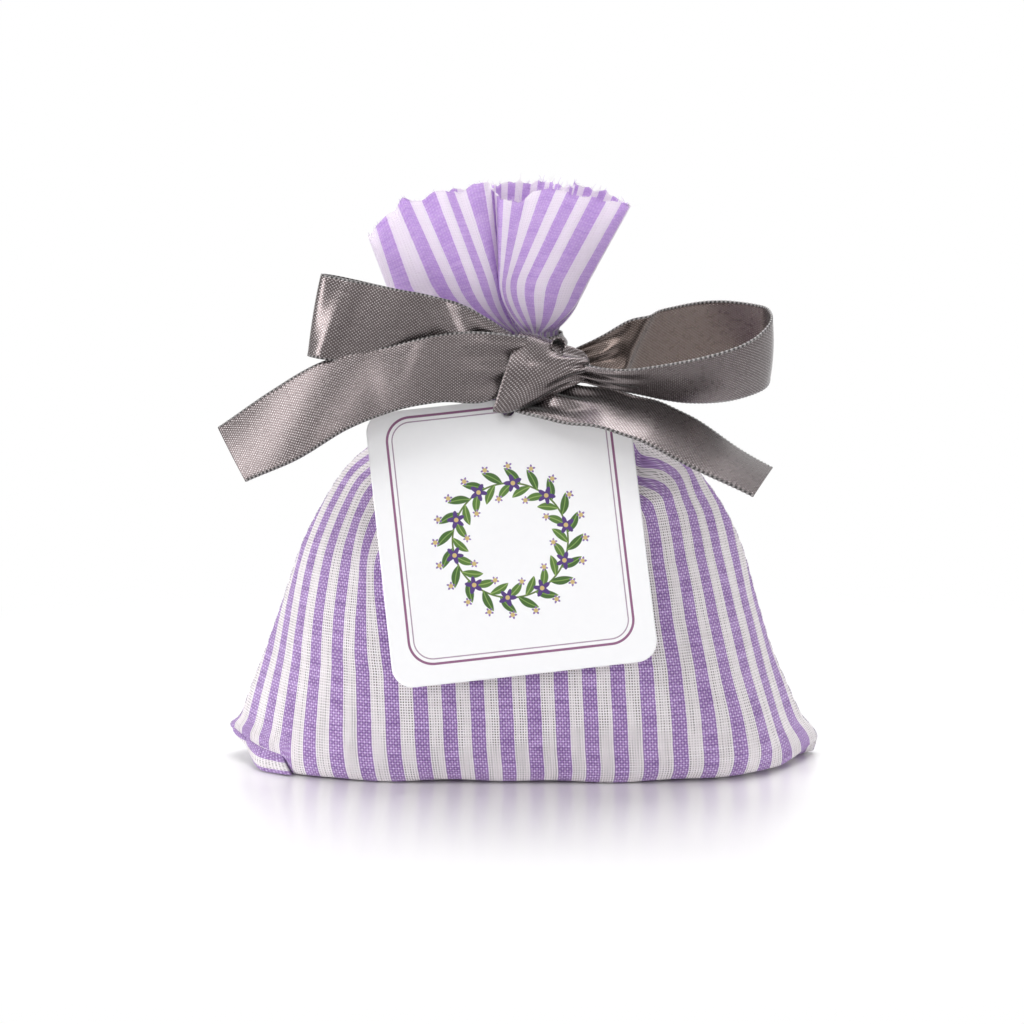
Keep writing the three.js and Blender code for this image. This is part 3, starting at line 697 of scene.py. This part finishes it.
def ribbonStretch(name, edges, shape, gather, turn):
    # a thin closed profile with beaded edges, carried along a route; each row gives its lower and upper edge
    rows = curveThrough([[*(np.add(low, high) / 2), *low, *high] for low, high in edges], 900)
    rows, run = evenly(rows, ribbon["steps"])
    low, high = rows[:, 3:6], rows[:, 6:9]
    along = unit(np.gradient(rows[:, :3], axis=0))
    face = unit(np.cross(along, high - low)) * turn
    t = np.linspace(-1, 1, ribbon["columns"])[None]
    s, full = run[:, None], run[-1]
    fade = ribbon["gatherLong"]
    near = (1 - smooth(0, fade, s)) * gather[0] + smooth(full - fade, full, s) * gather[1]
    lift = near * np.cos(2.5 * np.pi * t + 0.7) * (1 - 0.4 * t * t) + shape(s, t, full)
    rim = smooth(0.9, 0.98, np.abs(t))
    bead = 0.5 + 0.5 * np.cos(2 * np.pi * s / ribbon["beadStep"])
    half = ribbon["thick"] / 2 * (1 - 0.35 * smooth(0.97, 1, np.abs(t))) + ribbon["bead"] / 2 * rim * bead
    base = mix(low[:, None], high[:, None], (t[..., None] + 1) / 2) + face[:, None] * lift[..., None]
    points = np.concatenate([base + face[:, None] * half[..., None],
                             (base - face[:, None] * half[..., None])[:, ::-1]], 1)
    count, m = len(run), ribbon["columns"]
    flat = np.broadcast_to(t * ribbon["width"] / 2, (count, m))
    across = np.concatenate([flat, flat[:, ::-1] + ribbon["reverseAt"]], 1)
    nextAcross = np.roll(across, -1, 1)
    nextAcross[:, m - 1], nextAcross[:, -1] = across[:, m - 1], across[:, -1]
    laid = paired(s, across)
    uvs = gridUvs(laid, paired(s, nextAcross))
    j = np.arange(m - 1)
    cap = np.stack([j, j + 1, 2 * m - 2 - j, 2 * m - 1 - j], 1)
    caps = np.concatenate([cap, cap + (count - 1) * 2 * m])
    obj = meshPiece(name, points, np.concatenate([gridFaces(count, 2 * m, closed=True), caps]),
                    np.concatenate([uvs, laid.reshape(-1, 2)[caps].reshape(-1, 2)]), "ribbon")
    obj.data.materials.append(satin)
    outward(obj)
    return obj, full


# each stretch: its edges from the knot outwards, lower then upper, and its own bulges along s and across t
leftLoop = dict(
    edges=[((-1, -12.6, 77), (-1, -13, 85)), ((-8, -13.6, 77.5), (-6.1, -14, 88.6)),
           ((-16, -14.4, 78.6), (-13.7, -14.6, 92.4)), ((-27, -15, 79.6), (-24, -15, 94.6)),
           ((-37.5, -14.8, 81), (-34, -14.8, 96.4)), ((-40.8, -12.6, 81.4), (-37.6, -12.6, 97)),
           ((-37.5, -10.4, 81), (-34, -10.4, 96.2)), ((-27, -9.6, 79.4), (-24, -9.6, 94)),
           ((-14, -9.8, 78), (-12, -9.8, 90.6)), ((-2, -10, 77.4), (-2, -10, 84.6))],
    shape=lambda s, t, full: (0.8 * np.sin(s * 0.33 - 0.6 + 0.5 * t) * (0.7 + 0.3 * t) + 0.4 * (1 - t * t)
                              + 2.3 * np.exp(-((s - 13 - 3.5 * t) / 3.2) ** 2) * smooth(-0.7, 0.5, t)
                              + 1.1 * np.exp(-((s - 35 + 1.5 * t) / 2.4) ** 2)),
    gather=(1.1, 1.1),
    turn=-1,
)
rightLoop = dict(
    edges=[((10.5, -13.6, 77), (10.5, -14.4, 80.2)), ((16, -14.4, 75.4), (16, -16, 79.5)),
           ((22.3, -14, 74.2), (22.4, -17.2, 79.6)), ((31.8, -13, 72.7), (32.1, -18.2, 81.1)),
           ((40.3, -10.4, 72.4), (41.6, -16.6, 84.2)), ((46.6, -4.8, 74), (47.3, -11.8, 87.7)),
           ((47.6, 1.4, 76.2), (47.6, -7, 89.9)), ((44.5, 5.4, 78.4), (44.6, -4.4, 90.6)),
           ((37, 6, 77.6), (37.5, -3.6, 90.8)), ((29, 3, 76.6), (30, -4.6, 90.2)),
           ((21.6, -3, 75.4), (22.6, -6.6, 88.8)), ((15.5, -9.6, 75.6), (15.6, -10.6, 85.2)),
           ((9.5, -12, 76.4), (9.5, -12.4, 82.6))],
    shape=lambda s, t, full: (0.4 * np.sin(s * 0.24) * t + 0.5 * (1 - t * t)
                              - 1.3 * np.exp(-((s - full + 13 + 3 * t) / 2.4) ** 2)),
    gather=(0.9, 0.9),
    turn=1,
)
leftTail = dict(
    edges=[((-1.5, -13.6, 75.4), (2, -13.4, 85.2)), ((-8, -15.6, 72.9), (-7, -16.2, 86.4)),
           ((-15.6, -17.6, 73.1), (-15.6, -16.8, 86)), ((-24, -19.4, 71.7), (-25, -16.4, 83.8)),
           ((-33, -20.9, 68.5), (-37, -14.4, 80.8)), ((-42.5, -21.8, 62.6), (-48, -13.2, 74.6)),
           ((-52.3, -21.4, 58.5), (-58.4, -12.4, 67.7))],
    shape=lambda s, t, full: (0.45 * (1 - t * t) + 0.35 * np.sin(s * 0.17 + 0.8 * t)
                              + 0.5 * np.sin(s * 0.36 + 0.6 * t) * (1 - smooth(20, 34, s))),
    gather=(0.8, 0),
    turn=-1,
)
rightTail = dict(
    edges=[((-3, -13, 71.6), (10.5, -12, 75.4)), ((1.5, -18.5, 70.6), (13, -13, 75.6)),
           ((7.5, -22, 69.7), (18.5, -13.2, 74.9)), ((16.5, -25.5, 68.7), (26, -13.8, 72.9)),
           ((24, -27, 66.4), (32.5, -14.4, 69.7)), ((33.4, -27.6, 61.4), (40.6, -15, 64.2)),
           ((43.2, -27.6, 56.5), (48, -15, 60.4))],
    shape=lambda s, t, full: (0.6 * (1 - t * t) + 0.3 * np.sin(s * 0.2 + 1.4 * t)
                              + 0.18 * np.sin(s * 0.6 + 2.2 * t) * (1 - smooth(16, 30, s))),
    gather=(0.8, 0),
    turn=1,
)
stretches = [
    ("leftLoop", leftLoop, "left_loop", "ribbon_left_loop", (-6, -12, 81), (-18, -12, 84)),
    ("rightLoop", rightLoop, "right_loop", "ribbon_right_loop", (12.5, -13, 79.5), (22, -13, 80.6)),
    ("leftTail", leftTail, "left_tail", "ribbon_left_tail", (-6, -15.5, 79.5), (-17, -17, 79)),
    ("rightTail", rightTail, "right_tail", "ribbon_right_tail", (4, -17.5, 72.5), (15, -19.5, 71)),
]
for name, c, body, node, start, end in stretches:
    piece, length = ribbonStretch(name, c["edges"], c["shape"], c["gather"], c["turn"])
    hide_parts(node)
    [a * mm for a in start]
    [a * mm for a in end]
    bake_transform(piece)
    round(length * mm, 4)
    print(name, "made,", round(length, 1), "mm")

# the knot in rings from left to right; each ring runs over the top, down the front, under and up the back
knotRings = [
    [(-0.5, -9.5, 85.2), (-0.6, -13.5, 85.9), (-2.2, -16.0, 81.5), (-3.8, -16.9, 76.8), (-5.0, -16.8, 72.8),
     (-5.5, -15.6, 71.0), (-4.6, -12.0, 71.4), (-4.0, -8.8, 74.0), (-1.5, -8.6, 82.0)],
    [(2.5, -9.2, 84.8), (2.6, -14.0, 85.4), (2.0, -17.2, 81.3), (1.0, -18.0, 77.0), (-1.6, -17.8, 72.8),
     (-3.0, -16.2, 70.9), (-2.0, -12.5, 71.6), (-1.0, -8.4, 75.0), (1.5, -8.2, 82.0)],
    [(5.5, -9.2, 83.8), (5.6, -13.8, 84.2), (6.0, -17.2, 81.0), (5.5, -18.0, 77.6), (2.6, -17.8, 74.0),
     (1.4, -16.2, 72.3), (2.0, -12.5, 72.8), (2.5, -8.4, 76.0), (4.5, -8.2, 81.5)],
    [(9.0, -9.8, 82.4), (9.2, -13.2, 82.9), (10.0, -15.9, 80.6), (9.6, -16.5, 78.6), (7.2, -16.2, 76.2),
     (6.5, -15.0, 74.6), (6.5, -12.0, 75.0), (6.5, -8.8, 77.0), (8.0, -8.8, 80.5)],
    [(12.2, -11.4, 81.2), (12.4, -13.0, 81.6), (13.0, -14.4, 80.2), (13.0, -14.6, 79.0), (12.7, -14.3, 78.0),
     (12.4, -13.7, 77.4), (12.0, -12.4, 77.6), (11.6, -11.2, 78.2), (11.8, -11.0, 79.8)],
]
# across: rows from ring to ring, between: steps from one of a ring's points to the next
knot = dict(across=61, between=16, crease=0.42)


def knotSurface(c):
    # the rings carried on a smooth curve both ways, with fine creases that gather towards the right
    k, across, between = np.array(knotRings, float), c["across"], c["between"]
    rings = curveThrough(k.reshape(len(k), -1), across).reshape(across, -1, 3)
    loop = np.concatenate([rings[:, -2:], rings, rings[:, :2]], 1).transpose(1, 0, 2)
    count = len(loop)
    fine = curveThrough(loop.reshape(count, -1), (count - 1) * between + 1).reshape(-1, across, 3)
    points = fine[2 * between:(count - 2) * between].transpose(1, 0, 2)
    middle = points.mean(1, keepdims=True)
    b = np.linspace(0, 1, across)[:, None]
    a = np.linspace(0, 1, points.shape[1], endpoint=False)[None]
    gathered = smooth(0.25, 0.9, b) * (1 - smooth(0.95, 1, b))
    ridge = c["crease"] * (np.sin(2 * np.pi * (9 * a + 0.5 * b)) * gathered
                           + 0.5 * np.sin(2 * np.pi * (4 * a + 0.3)) * (1 - b))
    points = points + unit(points - middle) * ridge[..., None]
    ends = [middle[:1] + (points[:1] - middle[:1]) * f + (-d, 0, 0) for f, d in ((0.55, 0.3), (0.92, 0.25))]
    tips = [middle[-1:] + (points[-1:] - middle[-1:]) * f for f in (0.9, 0.5)]
    points = np.concatenate([*ends, points, *tips])
    step = np.linalg.norm(np.diff(points, axis=1, append=points[:, :1]), axis=2)
    run = np.concatenate([np.zeros((len(points), 1)), np.cumsum(step, 1)], 1)
    half = ribbon["width"] / 2
    grid = paired(run, asColumn(np.linspace(-half, half, len(points))))
    return points, grid[:, :-1], grid[:, 1:]


knotPoints, knotLeft, knotRight = knotSurface(knot)
rows, columns = knotPoints.shape[:2]
caps = np.array([np.arange(columns), np.arange(columns) + (rows - 1) * columns])
knotFaces = gridFaces(rows, columns, closed=True).tolist() + caps.tolist()
knotUvs = np.concatenate([gridUvs(knotLeft, knotRight), np.zeros((2 * columns, 2))])
ribbonKnot = outward(meshPiece("ribbonKnot", knotPoints, knotFaces, knotUvs, "ribbon"))
dress(ribbonKnot, satin, "satin_ribbon", "sachet", "ribbon_knot")
print("knot made")

wrap = dict(middle=(1.5, 0, 79), radius=6.75, high=10.4, thick=0.5, columns=120, rows=29, lastStep=0.35)


def wrapSurface(c):
    # a closed band round the neck, its face drawn into level creases that wander a little
    turn = np.linspace(0, 2 * np.pi, c["columns"], endpoint=False)[:, None]
    h = np.linspace(-1, 1, c["rows"])[None]
    crease = 0.32 * np.cos(3.2 * np.pi * h + 0.7 * np.sin(2 * turn)) + 0.12 * np.sin(5 * turn + 4 * h)
    outer = c["radius"] + 0.3 * (1 - h ** 4) + crease
    level = h * c["high"] / 2 + 0.5 * np.sin(turn + 1)
    inner = np.full_like(outer, c["radius"] - c["thick"])
    radius = np.concatenate([outer, inner[:, ::-1]], 1)
    z = np.concatenate([level, level[:, ::-1]], 1)
    points = np.stack([radius * np.cos(turn), radius * np.sin(turn), z], -1) + c["middle"]
    half = ribbon["width"] / 2
    across = np.concatenate([h * half, h[:, ::-1] * half + ribbon["reverseAt"]], 1)
    flat = paired(turn * c["radius"], across)
    # the first row again, which closes the band, at the far end of the layout
    return np.concatenate([points, points[:1]]), np.concatenate([flat, flat[-1:] + (c["lastStep"], 0)])


neckWrap = weldedPiece("neckWrap", *wrapSurface(wrap), "ribbon")
dress(neckWrap, satin, "satin_ribbon", "sachet", "ribbon_neck_wrap")
print("neck wrap made")

curl = dict(middle=(6.4, -12.9, 83.1), axis=(0.3, -0.9, 0.25), radius=1.2, wall=0.22, long=4.6, around=40,
            profile=24)


def curlSurface(c):
    # the ribbon's edge rolled over at the knot's top: a short tube whose closed wall runs out and back inside
    axis = unit(np.array(c["axis"]))
    side = unit(np.cross(axis, (0, 0, 1.0)))
    up = np.cross(side, axis)
    turn = np.linspace(0, 2 * np.pi, c["around"] + 1)[:, None]
    profile = np.linspace(0, 2 * np.pi, c["profile"], endpoint=False)[None]
    wall = c["wall"] * np.sin(profile) + 0.2 * np.cos(profile)
    radius = c["radius"] * (1 + 0.14 * np.cos(turn - 0.6)) + wall
    far = c["long"] / 2 * np.sign(np.cos(profile)) * np.abs(np.cos(profile)) ** 0.4
    outwards = np.cos(turn)[..., None] * side + np.sin(turn)[..., None] * up
    points = np.array(c["middle"]) + radius[..., None] * outwards + (far + 0 * turn)[..., None] * axis
    return points, paired(turn * c["radius"], 4 + far)


knotCurl = weldedPiece("knotCurl", *curlSurface(curl), "ribbon")
dress(knotCurl, satin, "satin_ribbon", "sachet")
print("knot's curl made")


# tag

tag = dict(hole=(-2.7, -11.5, 71.0), lean=17.55, roll=6.5, width=50.5, length=53.1, thick=0.5, corner=4.0,
           holeInset=2.0, holeAside=2.2, holeRadius=1.35, bow=0.5, around=480, rings=30, reverseAt=200)


def tagPlane(c):  # the tag's own right, up and outward directions
    lean, roll = math.radians(c["lean"]), math.radians(c["roll"])
    up = np.array([0, math.sin(lean), math.cos(lean)])
    out = np.array([0, -math.cos(lean), math.sin(lean)])
    right = np.array([1.0, 0, 0])
    return (right * math.cos(roll) + up * math.sin(roll), up * math.cos(roll) - right * math.sin(roll), out)


def tagSurface(c):
    # rings from the hole to a rounded oblong, front and back, joined over the rim; the card bows a little
    r, hx, hy = c["corner"], c["width"] / 2, c["length"] / 2
    turn = np.linspace(0, 2 * np.pi, 4000)
    sign = np.stack([np.sign(np.cos(turn)), np.sign(np.sin(turn))], 1)
    dense = sign * (np.array([hx, hy]) - r) + r * np.stack([np.cos(turn), np.sin(turn)], 1)
    dense = np.concatenate([dense, dense[:1]])
    rim = evenly(np.column_stack([dense, 0 * dense[:, 0]]), c["around"] + 1)[0][:-1, :2]
    rim = rim + (-c["holeAside"], c["holeInset"] - hy)
    hole = c["holeRadius"] * unit(rim)
    share = np.concatenate([[0, 0.012], np.linspace(0.03, 0.985, c["rings"]) ** 0.8, [0.994, 1.0]])
    flat = mix(hole[None], rim[None], share[:, None, None])
    edge = np.ones(len(share))
    edge[[0, -1]] = 0.45
    aside, down = (flat[..., 0] + c["holeAside"]) / hx, (flat[..., 1] + hy) / hy
    bow = c["bow"] * (aside ** 2 + 0.5 * down ** 2 - 0.3)
    faces = [bow + k * c["thick"] / 2 * edge[:, None] for k in (1, -1)]
    sides = [np.concatenate([flat, face[..., None]], -1) for face in faces]
    local = np.concatenate([sides[0], sides[1][::-1], sides[0][:1]])
    axes = np.stack(tagPlane(c))
    points = np.array(c["hole"]) + local @ axes
    over = (c["reverseAt"], 0)
    return points, np.concatenate([flat, flat[::-1] + over, flat[:1] + over])


def printedCard():
    look = dict(boxMiddle=(-2.3, -23.3), boxHalf=(21.4, 23.8), corner=4.6, wreath=(-2.4, -25.2), ring=11.0)
    p = Paint("printedCard")
    x, y, _ = p.parts(p.uv("print"))
    x, y = x * 1000, y * 1000
    qx = (x - look["boxMiddle"][0]).abs() - (look["boxHalf"][0] - look["corner"])
    qy = (y - look["boxMiddle"][1]).abs() - (look["boxHalf"][1] - look["corner"])
    mx, my = qx.most(0.0), qy.most(0.0)
    d = (mx * mx + my * my).root() + qx.most(qy).least(0.0) - look["corner"]  # distance from the border line
    outer = d.abs().step(0.27, 0.2)
    inner = (d + 0.95).abs().step(0.15, 0.09)
    wx, wy = x - look["wreath"][0], y - look["wreath"][1]
    r, turn = (wx * wx + wy * wy).root(), wy.angle(wx)

    def ringOf(count, shift, radius):  # along and out from the middle of each copy round the ring
        a = ((turn * (count / (2 * math.pi)) + shift + 100).fract() - 0.5) * (2 * math.pi * radius / count)
        return a, r - radius

    def leaf(count, shift, radius, tilt, long, wide):
        a, o = ringOf(count, shift, radius)
        g = a * math.cos(tilt) + o * math.sin(tilt)
        h = o * math.cos(tilt) - a * math.sin(tilt)
        body = wide * (1 - (g / long) * (g / long))
        return (h.abs() - body).step(0.06, -0.06), h.abs().step(0.14, 0.05)

    def floret(count, shift, radius, size):
        a, o = ringOf(count, shift, radius)
        petal = 0.72 + 0.28 * (o.angle(a) * 5).cos()
        far = (a * a + o * o).root()
        return (far - size * petal).step(0.07, -0.07), far.step(0.5, 0.36)

    card = p.colour(p.noise(p.uv("print"), 500, 2.0), tint(246, 246, 248), tint(250, 250, 251))
    ink = p.colour(outer, card, tint(140, 92, 126))
    ink = p.colour(inner, ink, tint(168, 146, 164))
    vine = (r - look["ring"]).abs().step(0.22, 0.12)
    ink = p.colour(vine, ink, tint(92, 112, 52))
    for count, shift, radius, tilt, long, wide, dark, light in (
            (20, 0.0, 12.4, 0.75, 2.3, 0.8, tint(62, 96, 38), tint(120, 152, 74)),
            (20, 0.5, 9.6, -0.75, 2.1, 0.75, tint(82, 116, 48), tint(140, 166, 90))):
        shape, rib = leaf(count, shift, radius, tilt, long, wide)
        ink = p.colour(shape, ink, p.colour(rib, dark, light))
    for count, shift, radius, size, dark in ((10, 0.25, 11.0, 1.75, tint(78, 50, 118)),
                                             (20, 0.75, 14.3, 0.85, tint(128, 98, 164)),
                                             (10, 0.75, 8.2, 0.8, tint(146, 116, 178))):
        shape, eye = floret(count, shift, radius, size)
        ink = p.colour(shape, ink, p.colour(eye, dark, tint(206, 182, 120)))
    return p.surface(Base_Color=ink, Roughness=0.42, Specular_IOR_Level=0.4,
                     Normal=p.bump(p.noise(p.uv("print"), 2600, 2.0), 0.00002, 0.5))


hangTag = weldedPiece("hangTag", *tagSurface(tag), "print")
dress(hangTag, printedCard(), "tag_card", "tag", "hang_tag")
print("tag made")

strand = dict(radius=1.9, half=0.68, thin=0.28, twists=2, steps=160, around=20)


def strandSurface(c):
    # the ribbon drawn narrow into a ring through the tag's hole: a flat oval section that twists round it
    right, up, out = tagPlane(tag)
    turn = np.linspace(0, 2 * np.pi, c["steps"] + 1)[:, None, None]
    around = np.linspace(0, 2 * np.pi, c["around"], endpoint=False)[None, :, None]
    radial = out * np.sin(turn) - up * np.cos(turn)
    twist = c["twists"] * turn
    wide = right * np.cos(twist) + radial * np.sin(twist)
    thin = radial * np.cos(twist) - right * np.sin(twist)
    crease = 1 + 0.12 * np.cos(6 * around + turn)
    points = (np.array(tag["hole"]) + c["radius"] * (up + radial) + c["half"] * crease * np.cos(around) * wide
              + c["thin"] * crease * np.sin(around) * thin)
    flat = np.concatenate(np.broadcast_arrays(turn * c["radius"], 6 * np.cos(around)), -1)
    return points, flat


tagStrand = weldedPiece("tagStrand", *strandSurface(strand), "ribbon")
dress(tagStrand, satin, "satin_ribbon", "tag_strand", "ribbon_tag_strand")
print("tag's strand made")


# sewing and frayed edge

sewing = dict(stitch=2.5, gap=0.9, radius=0.13, clear=0.06, steps=8, sides=6)


def spunThread():
    p = Paint("spunThread")
    along, around, _ = p.parts(p.uv("thread"))
    twist = (along * 9000 + around * 6283).sin() * 0.5 + 0.5
    colour = p.colour(twist, tint(188, 178, 196), tint(240, 235, 243))
    return p.surface(Base_Color=colour, Roughness=0.85, Normal=p.bump(twist, 0.0001, 0.6))


def seamStitches(c):
    # short stitches along the side seams and the base seam, each dipping into the cloth at both ends
    n = bag["columns"]
    path = np.concatenate([bagPoints[::-1, 0], bagPoints[0, 1:n], bagPoints[:, n]])
    path, run = evenly(path, 3000)
    start = np.arange(1.0, run[-1] - c["stitch"] - 1, c["stitch"] + c["gap"])
    q = np.linspace(0, 1, c["steps"])
    at = start[:, None] + c["stitch"] * q
    paths = np.stack([np.interp(at, run, a) for a in path.T], -1)
    paths[..., 2] = np.maximum(paths[..., 2], c["radius"] + c["clear"])
    radius = np.broadcast_to(c["radius"] * np.sqrt(np.clip(1.001 - (2 * q - 1) ** 4, 0, 1)), at.shape)
    points, faces = strands(paths, radius, c["sides"])
    side = np.arange(c["sides"]) / c["sides"]
    grids = [paired(at[..., None], side + k / c["sides"]) for k in (0, 1)]
    return points, faces, gridUvs(*grids)


stitchPoints, stitchFaces, stitchUvs = seamStitches(sewing)
stitches = meshPiece("seamStitches", stitchPoints, stitchFaces, stitchUvs, "thread")
dress(outward(stitches), spunThread(), "sewing_thread", "sachet", "seam_thread")
print("stitches made", len(stitchFaces), "faces")

fray = dict(count=460, short=0.35, long=1.15, radius=0.045, steps=5, sides=3, clothAt=150.3, seed=21)


def frayedFibres(c):
    # loose yarn ends along the ruffle's cut edge, each a bent line that leaves the cloth near its own slope
    r = np.random.default_rng(c["seed"])
    columns = bagPoints.shape[1]
    at = r.integers(0, columns, c["count"])
    step = r.uniform(0, 1, (c["count"], 1))
    edge, under = bagPoints[-1], bagPoints[-4]
    root = mix(edge[at], edge[(at + 1) % columns], step)
    lead = unit(root - mix(under[at], under[(at + 1) % columns], step)) + r.normal(0, 0.3, (c["count"], 3))
    bend = r.normal(0, 0.45, (c["count"], 3))
    size = mix(c["short"], c["long"], r.uniform(0, 1, (c["count"], 1)) ** 3)[..., None]
    q = np.linspace(0, 1, c["steps"])[None, :, None]
    paths = root[:, None] + size * (lead[:, None] * (q - 0.25) + bend[:, None] * q * q)
    radius = np.broadcast_to(c["radius"] * (1 - 0.6 * q[..., 0]), paths.shape[:2])
    points, faces = strands(paths, radius, c["sides"])
    across = mix(bagLeft[-1, at, 0], bagRight[-1, at, 0], step[:, 0])
    across = (np.floor(across / weave["end"]) + 0.5) * weave["end"]
    flat = paired(across, c["clothAt"])
    return points, faces, np.repeat(flat, 4 * (c["steps"] - 1) * c["sides"], 0)


fibrePoints, fibreFaces, fibreUvs = frayedFibres(fray)
fibres = meshPiece("frayedFibres", fibrePoints, fibreFaces, fibreUvs)
dress(fibres, cotton, "striped_cotton", "sachet")
print("frayed fibres made", len(fibreFaces), "faces")

tuck = dict(
    upper=[(-56.9, 2.0, 5.2), (-52.5, -5.0, 4.8), (-46.5, -13.0, 4.2)],
    lower=[(-56.9, 2.0, 4.8), (-54.4, -3.0, 3.4), (-52.8, -7.5, 1.6), (-50.6, -12.5, 0.35),
           (-46.8, -15.5, 0.3), (-44.5, -17.0, 0.3)],
    bulge=1.3, toward=(-0.55, -0.8, 0.1), crease=0.33, rows=20, columns=44, thick=0.45,
    clothFrom=-0.6, clothWide=8.6, clothLong=14)


def tuckSurface(c):
    # the left corner's folded-in cloth: ruled from its upper to its lower line, in two lobes beside a crease
    a = np.linspace(0, 1, c["columns"])[None, :, None]
    b = np.linspace(0, 1, c["rows"])[:, None, None]
    upper, lower = (evenly(curveThrough(c[k], 300), c["columns"])[0][None] for k in ("upper", "lower"))
    crease = c["crease"]
    share = np.where(a < crease, a / crease, (a - crease) / (1 - crease))
    lobe = np.abs(np.sin(np.pi * share)) ** 0.7
    bulge = c["bulge"] * np.sin(np.pi * b) * (0.35 + 0.65 * lobe)
    points = mix(upper, lower, b) + bulge * np.array(c["toward"])
    flat = np.concatenate(np.broadcast_arrays(c["clothWide"] * b + c["clothFrom"], c["clothLong"] * a), -1)
    return points, flat


tuckPoints, tuckFlat = tuckSurface(tuck)
cornerTuck = meshPiece("cornerTuck", tuckPoints, gridFaces(*tuckPoints.shape[:2]),
                       gridUvs(tuckFlat[:, :-1], tuckFlat[:, 1:]))
thicken(cornerTuck, tuck["thick"], -1)
dress(cornerTuck, cotton, "striped_cotton", "sachet")
print("corner's tuck made")


# floor and light

def seenPlain(p):  # 1 for rays that see the white surround itself, 0 for those that gather its light
    path = p.node("ShaderNodeLightPath").socket.node
    rays = [Value(p, path.outputs[k]) for k in ("Is Camera Ray", "Is Glossy Ray", "Is Transmission Ray")]
    return rays[0].most(rays[1]).most(rays[2])


def whiteFloor():
    # matt white that mirrors a little beside the object and is plain white further off, in metres
    look = dict(half=(0.05, 0.018), mirror=0.38, mirrorFade=0.09, plain=(0.03, 0.15))
    p = Paint("whiteFloor")
    x, y, _ = p.parts(p.node("ShaderNodeTexCoord", None, None, "Object"))
    dx, dy = (x.abs() - look["half"][0]).most(0.0), (y.abs() - look["half"][1]).most(0.0)
    away = (dx * dx + dy * dy).root()
    matt = p.node("ShaderNodeBsdfDiffuse", None, {"Color": tint(240, 239, 240)})
    gloss = p.node("ShaderNodeBsdfGlossy", None, {"Color": (1, 1, 1, 1), "Roughness": 0.26})
    lit = p.mixed(away.step(look["mirrorFade"], 0.0) * look["mirror"], matt, gloss)
    white = p.node("ShaderNodeEmission", None, {"Color": (1, 1, 1, 1), "Strength": 1.0})
    return p.finish(p.mixed(away.step(*look["plain"]) * seenPlain(p), lit, white))


def makeFloor():
    count, reach = 9, 4000
    x, y = np.meshgrid(*[np.linspace(-reach, reach, count)] * 2)
    floor = meshPiece("floor", np.stack([x, y, np.zeros_like(x)], -1), gridFaces(count, count))
    floor.data.materials.append(whiteFloor())


def makeLight(name, place, aim, size, power):
    data = bpy.data.lights.new(name, "AREA")
    data.shape, data.size, data.size_y, data.energy = "RECTANGLE", size[0], size[1], power
    obj = bpy.data.objects.new(name, data)
    scene.collection.objects.link(obj)
    obj.location = place
    obj.rotation_mode = "QUATERNION"
    obj.rotation_quaternion = (Vector(aim) - Vector(place)).to_track_quat("-Z", "Y")


def makeWorld(strength):
    p = Paint("studio", "worlds")
    lit, plain = (p.node("ShaderNodeBackground", None, {"Color": (1, 1, 1, 1), "Strength": k})
                  for k in (strength, 1.0))
    scene.world = p.finish(p.mixed(seenPlain(p), lit, plain), "ShaderNodeOutputWorld")


makeFloor()
makeLight("keyLight", (-0.75, -0.4, 0.85), (0, 0, 0.05), (0.45, 0.45), 4.0)
makeLight("topLight", (0.05, 0.4, 1.0), (0, 0, 0.06), (0.9, 0.7), 11.5)
makeLight("frontLight", (-0.3, -0.95, 0.6), (0, 0, 0.06), (0.22, 0.22), 1.2)
makeLight("fillLight", (0.15, -1.0, 0.2), (0, 0, 0.07), (1.0, 0.7), 0.8)
makeLight("leftLight", (-0.88, -0.35, 0.16), (0, 0, 0.07), (0.3, 0.4), 3.8)
makeLight("rightLight", (0.88, -0.35, 0.18), (0, 0, 0.07), (0.4, 0.5), 3.3)
makeWorld(0.17)
print("floor and light made")
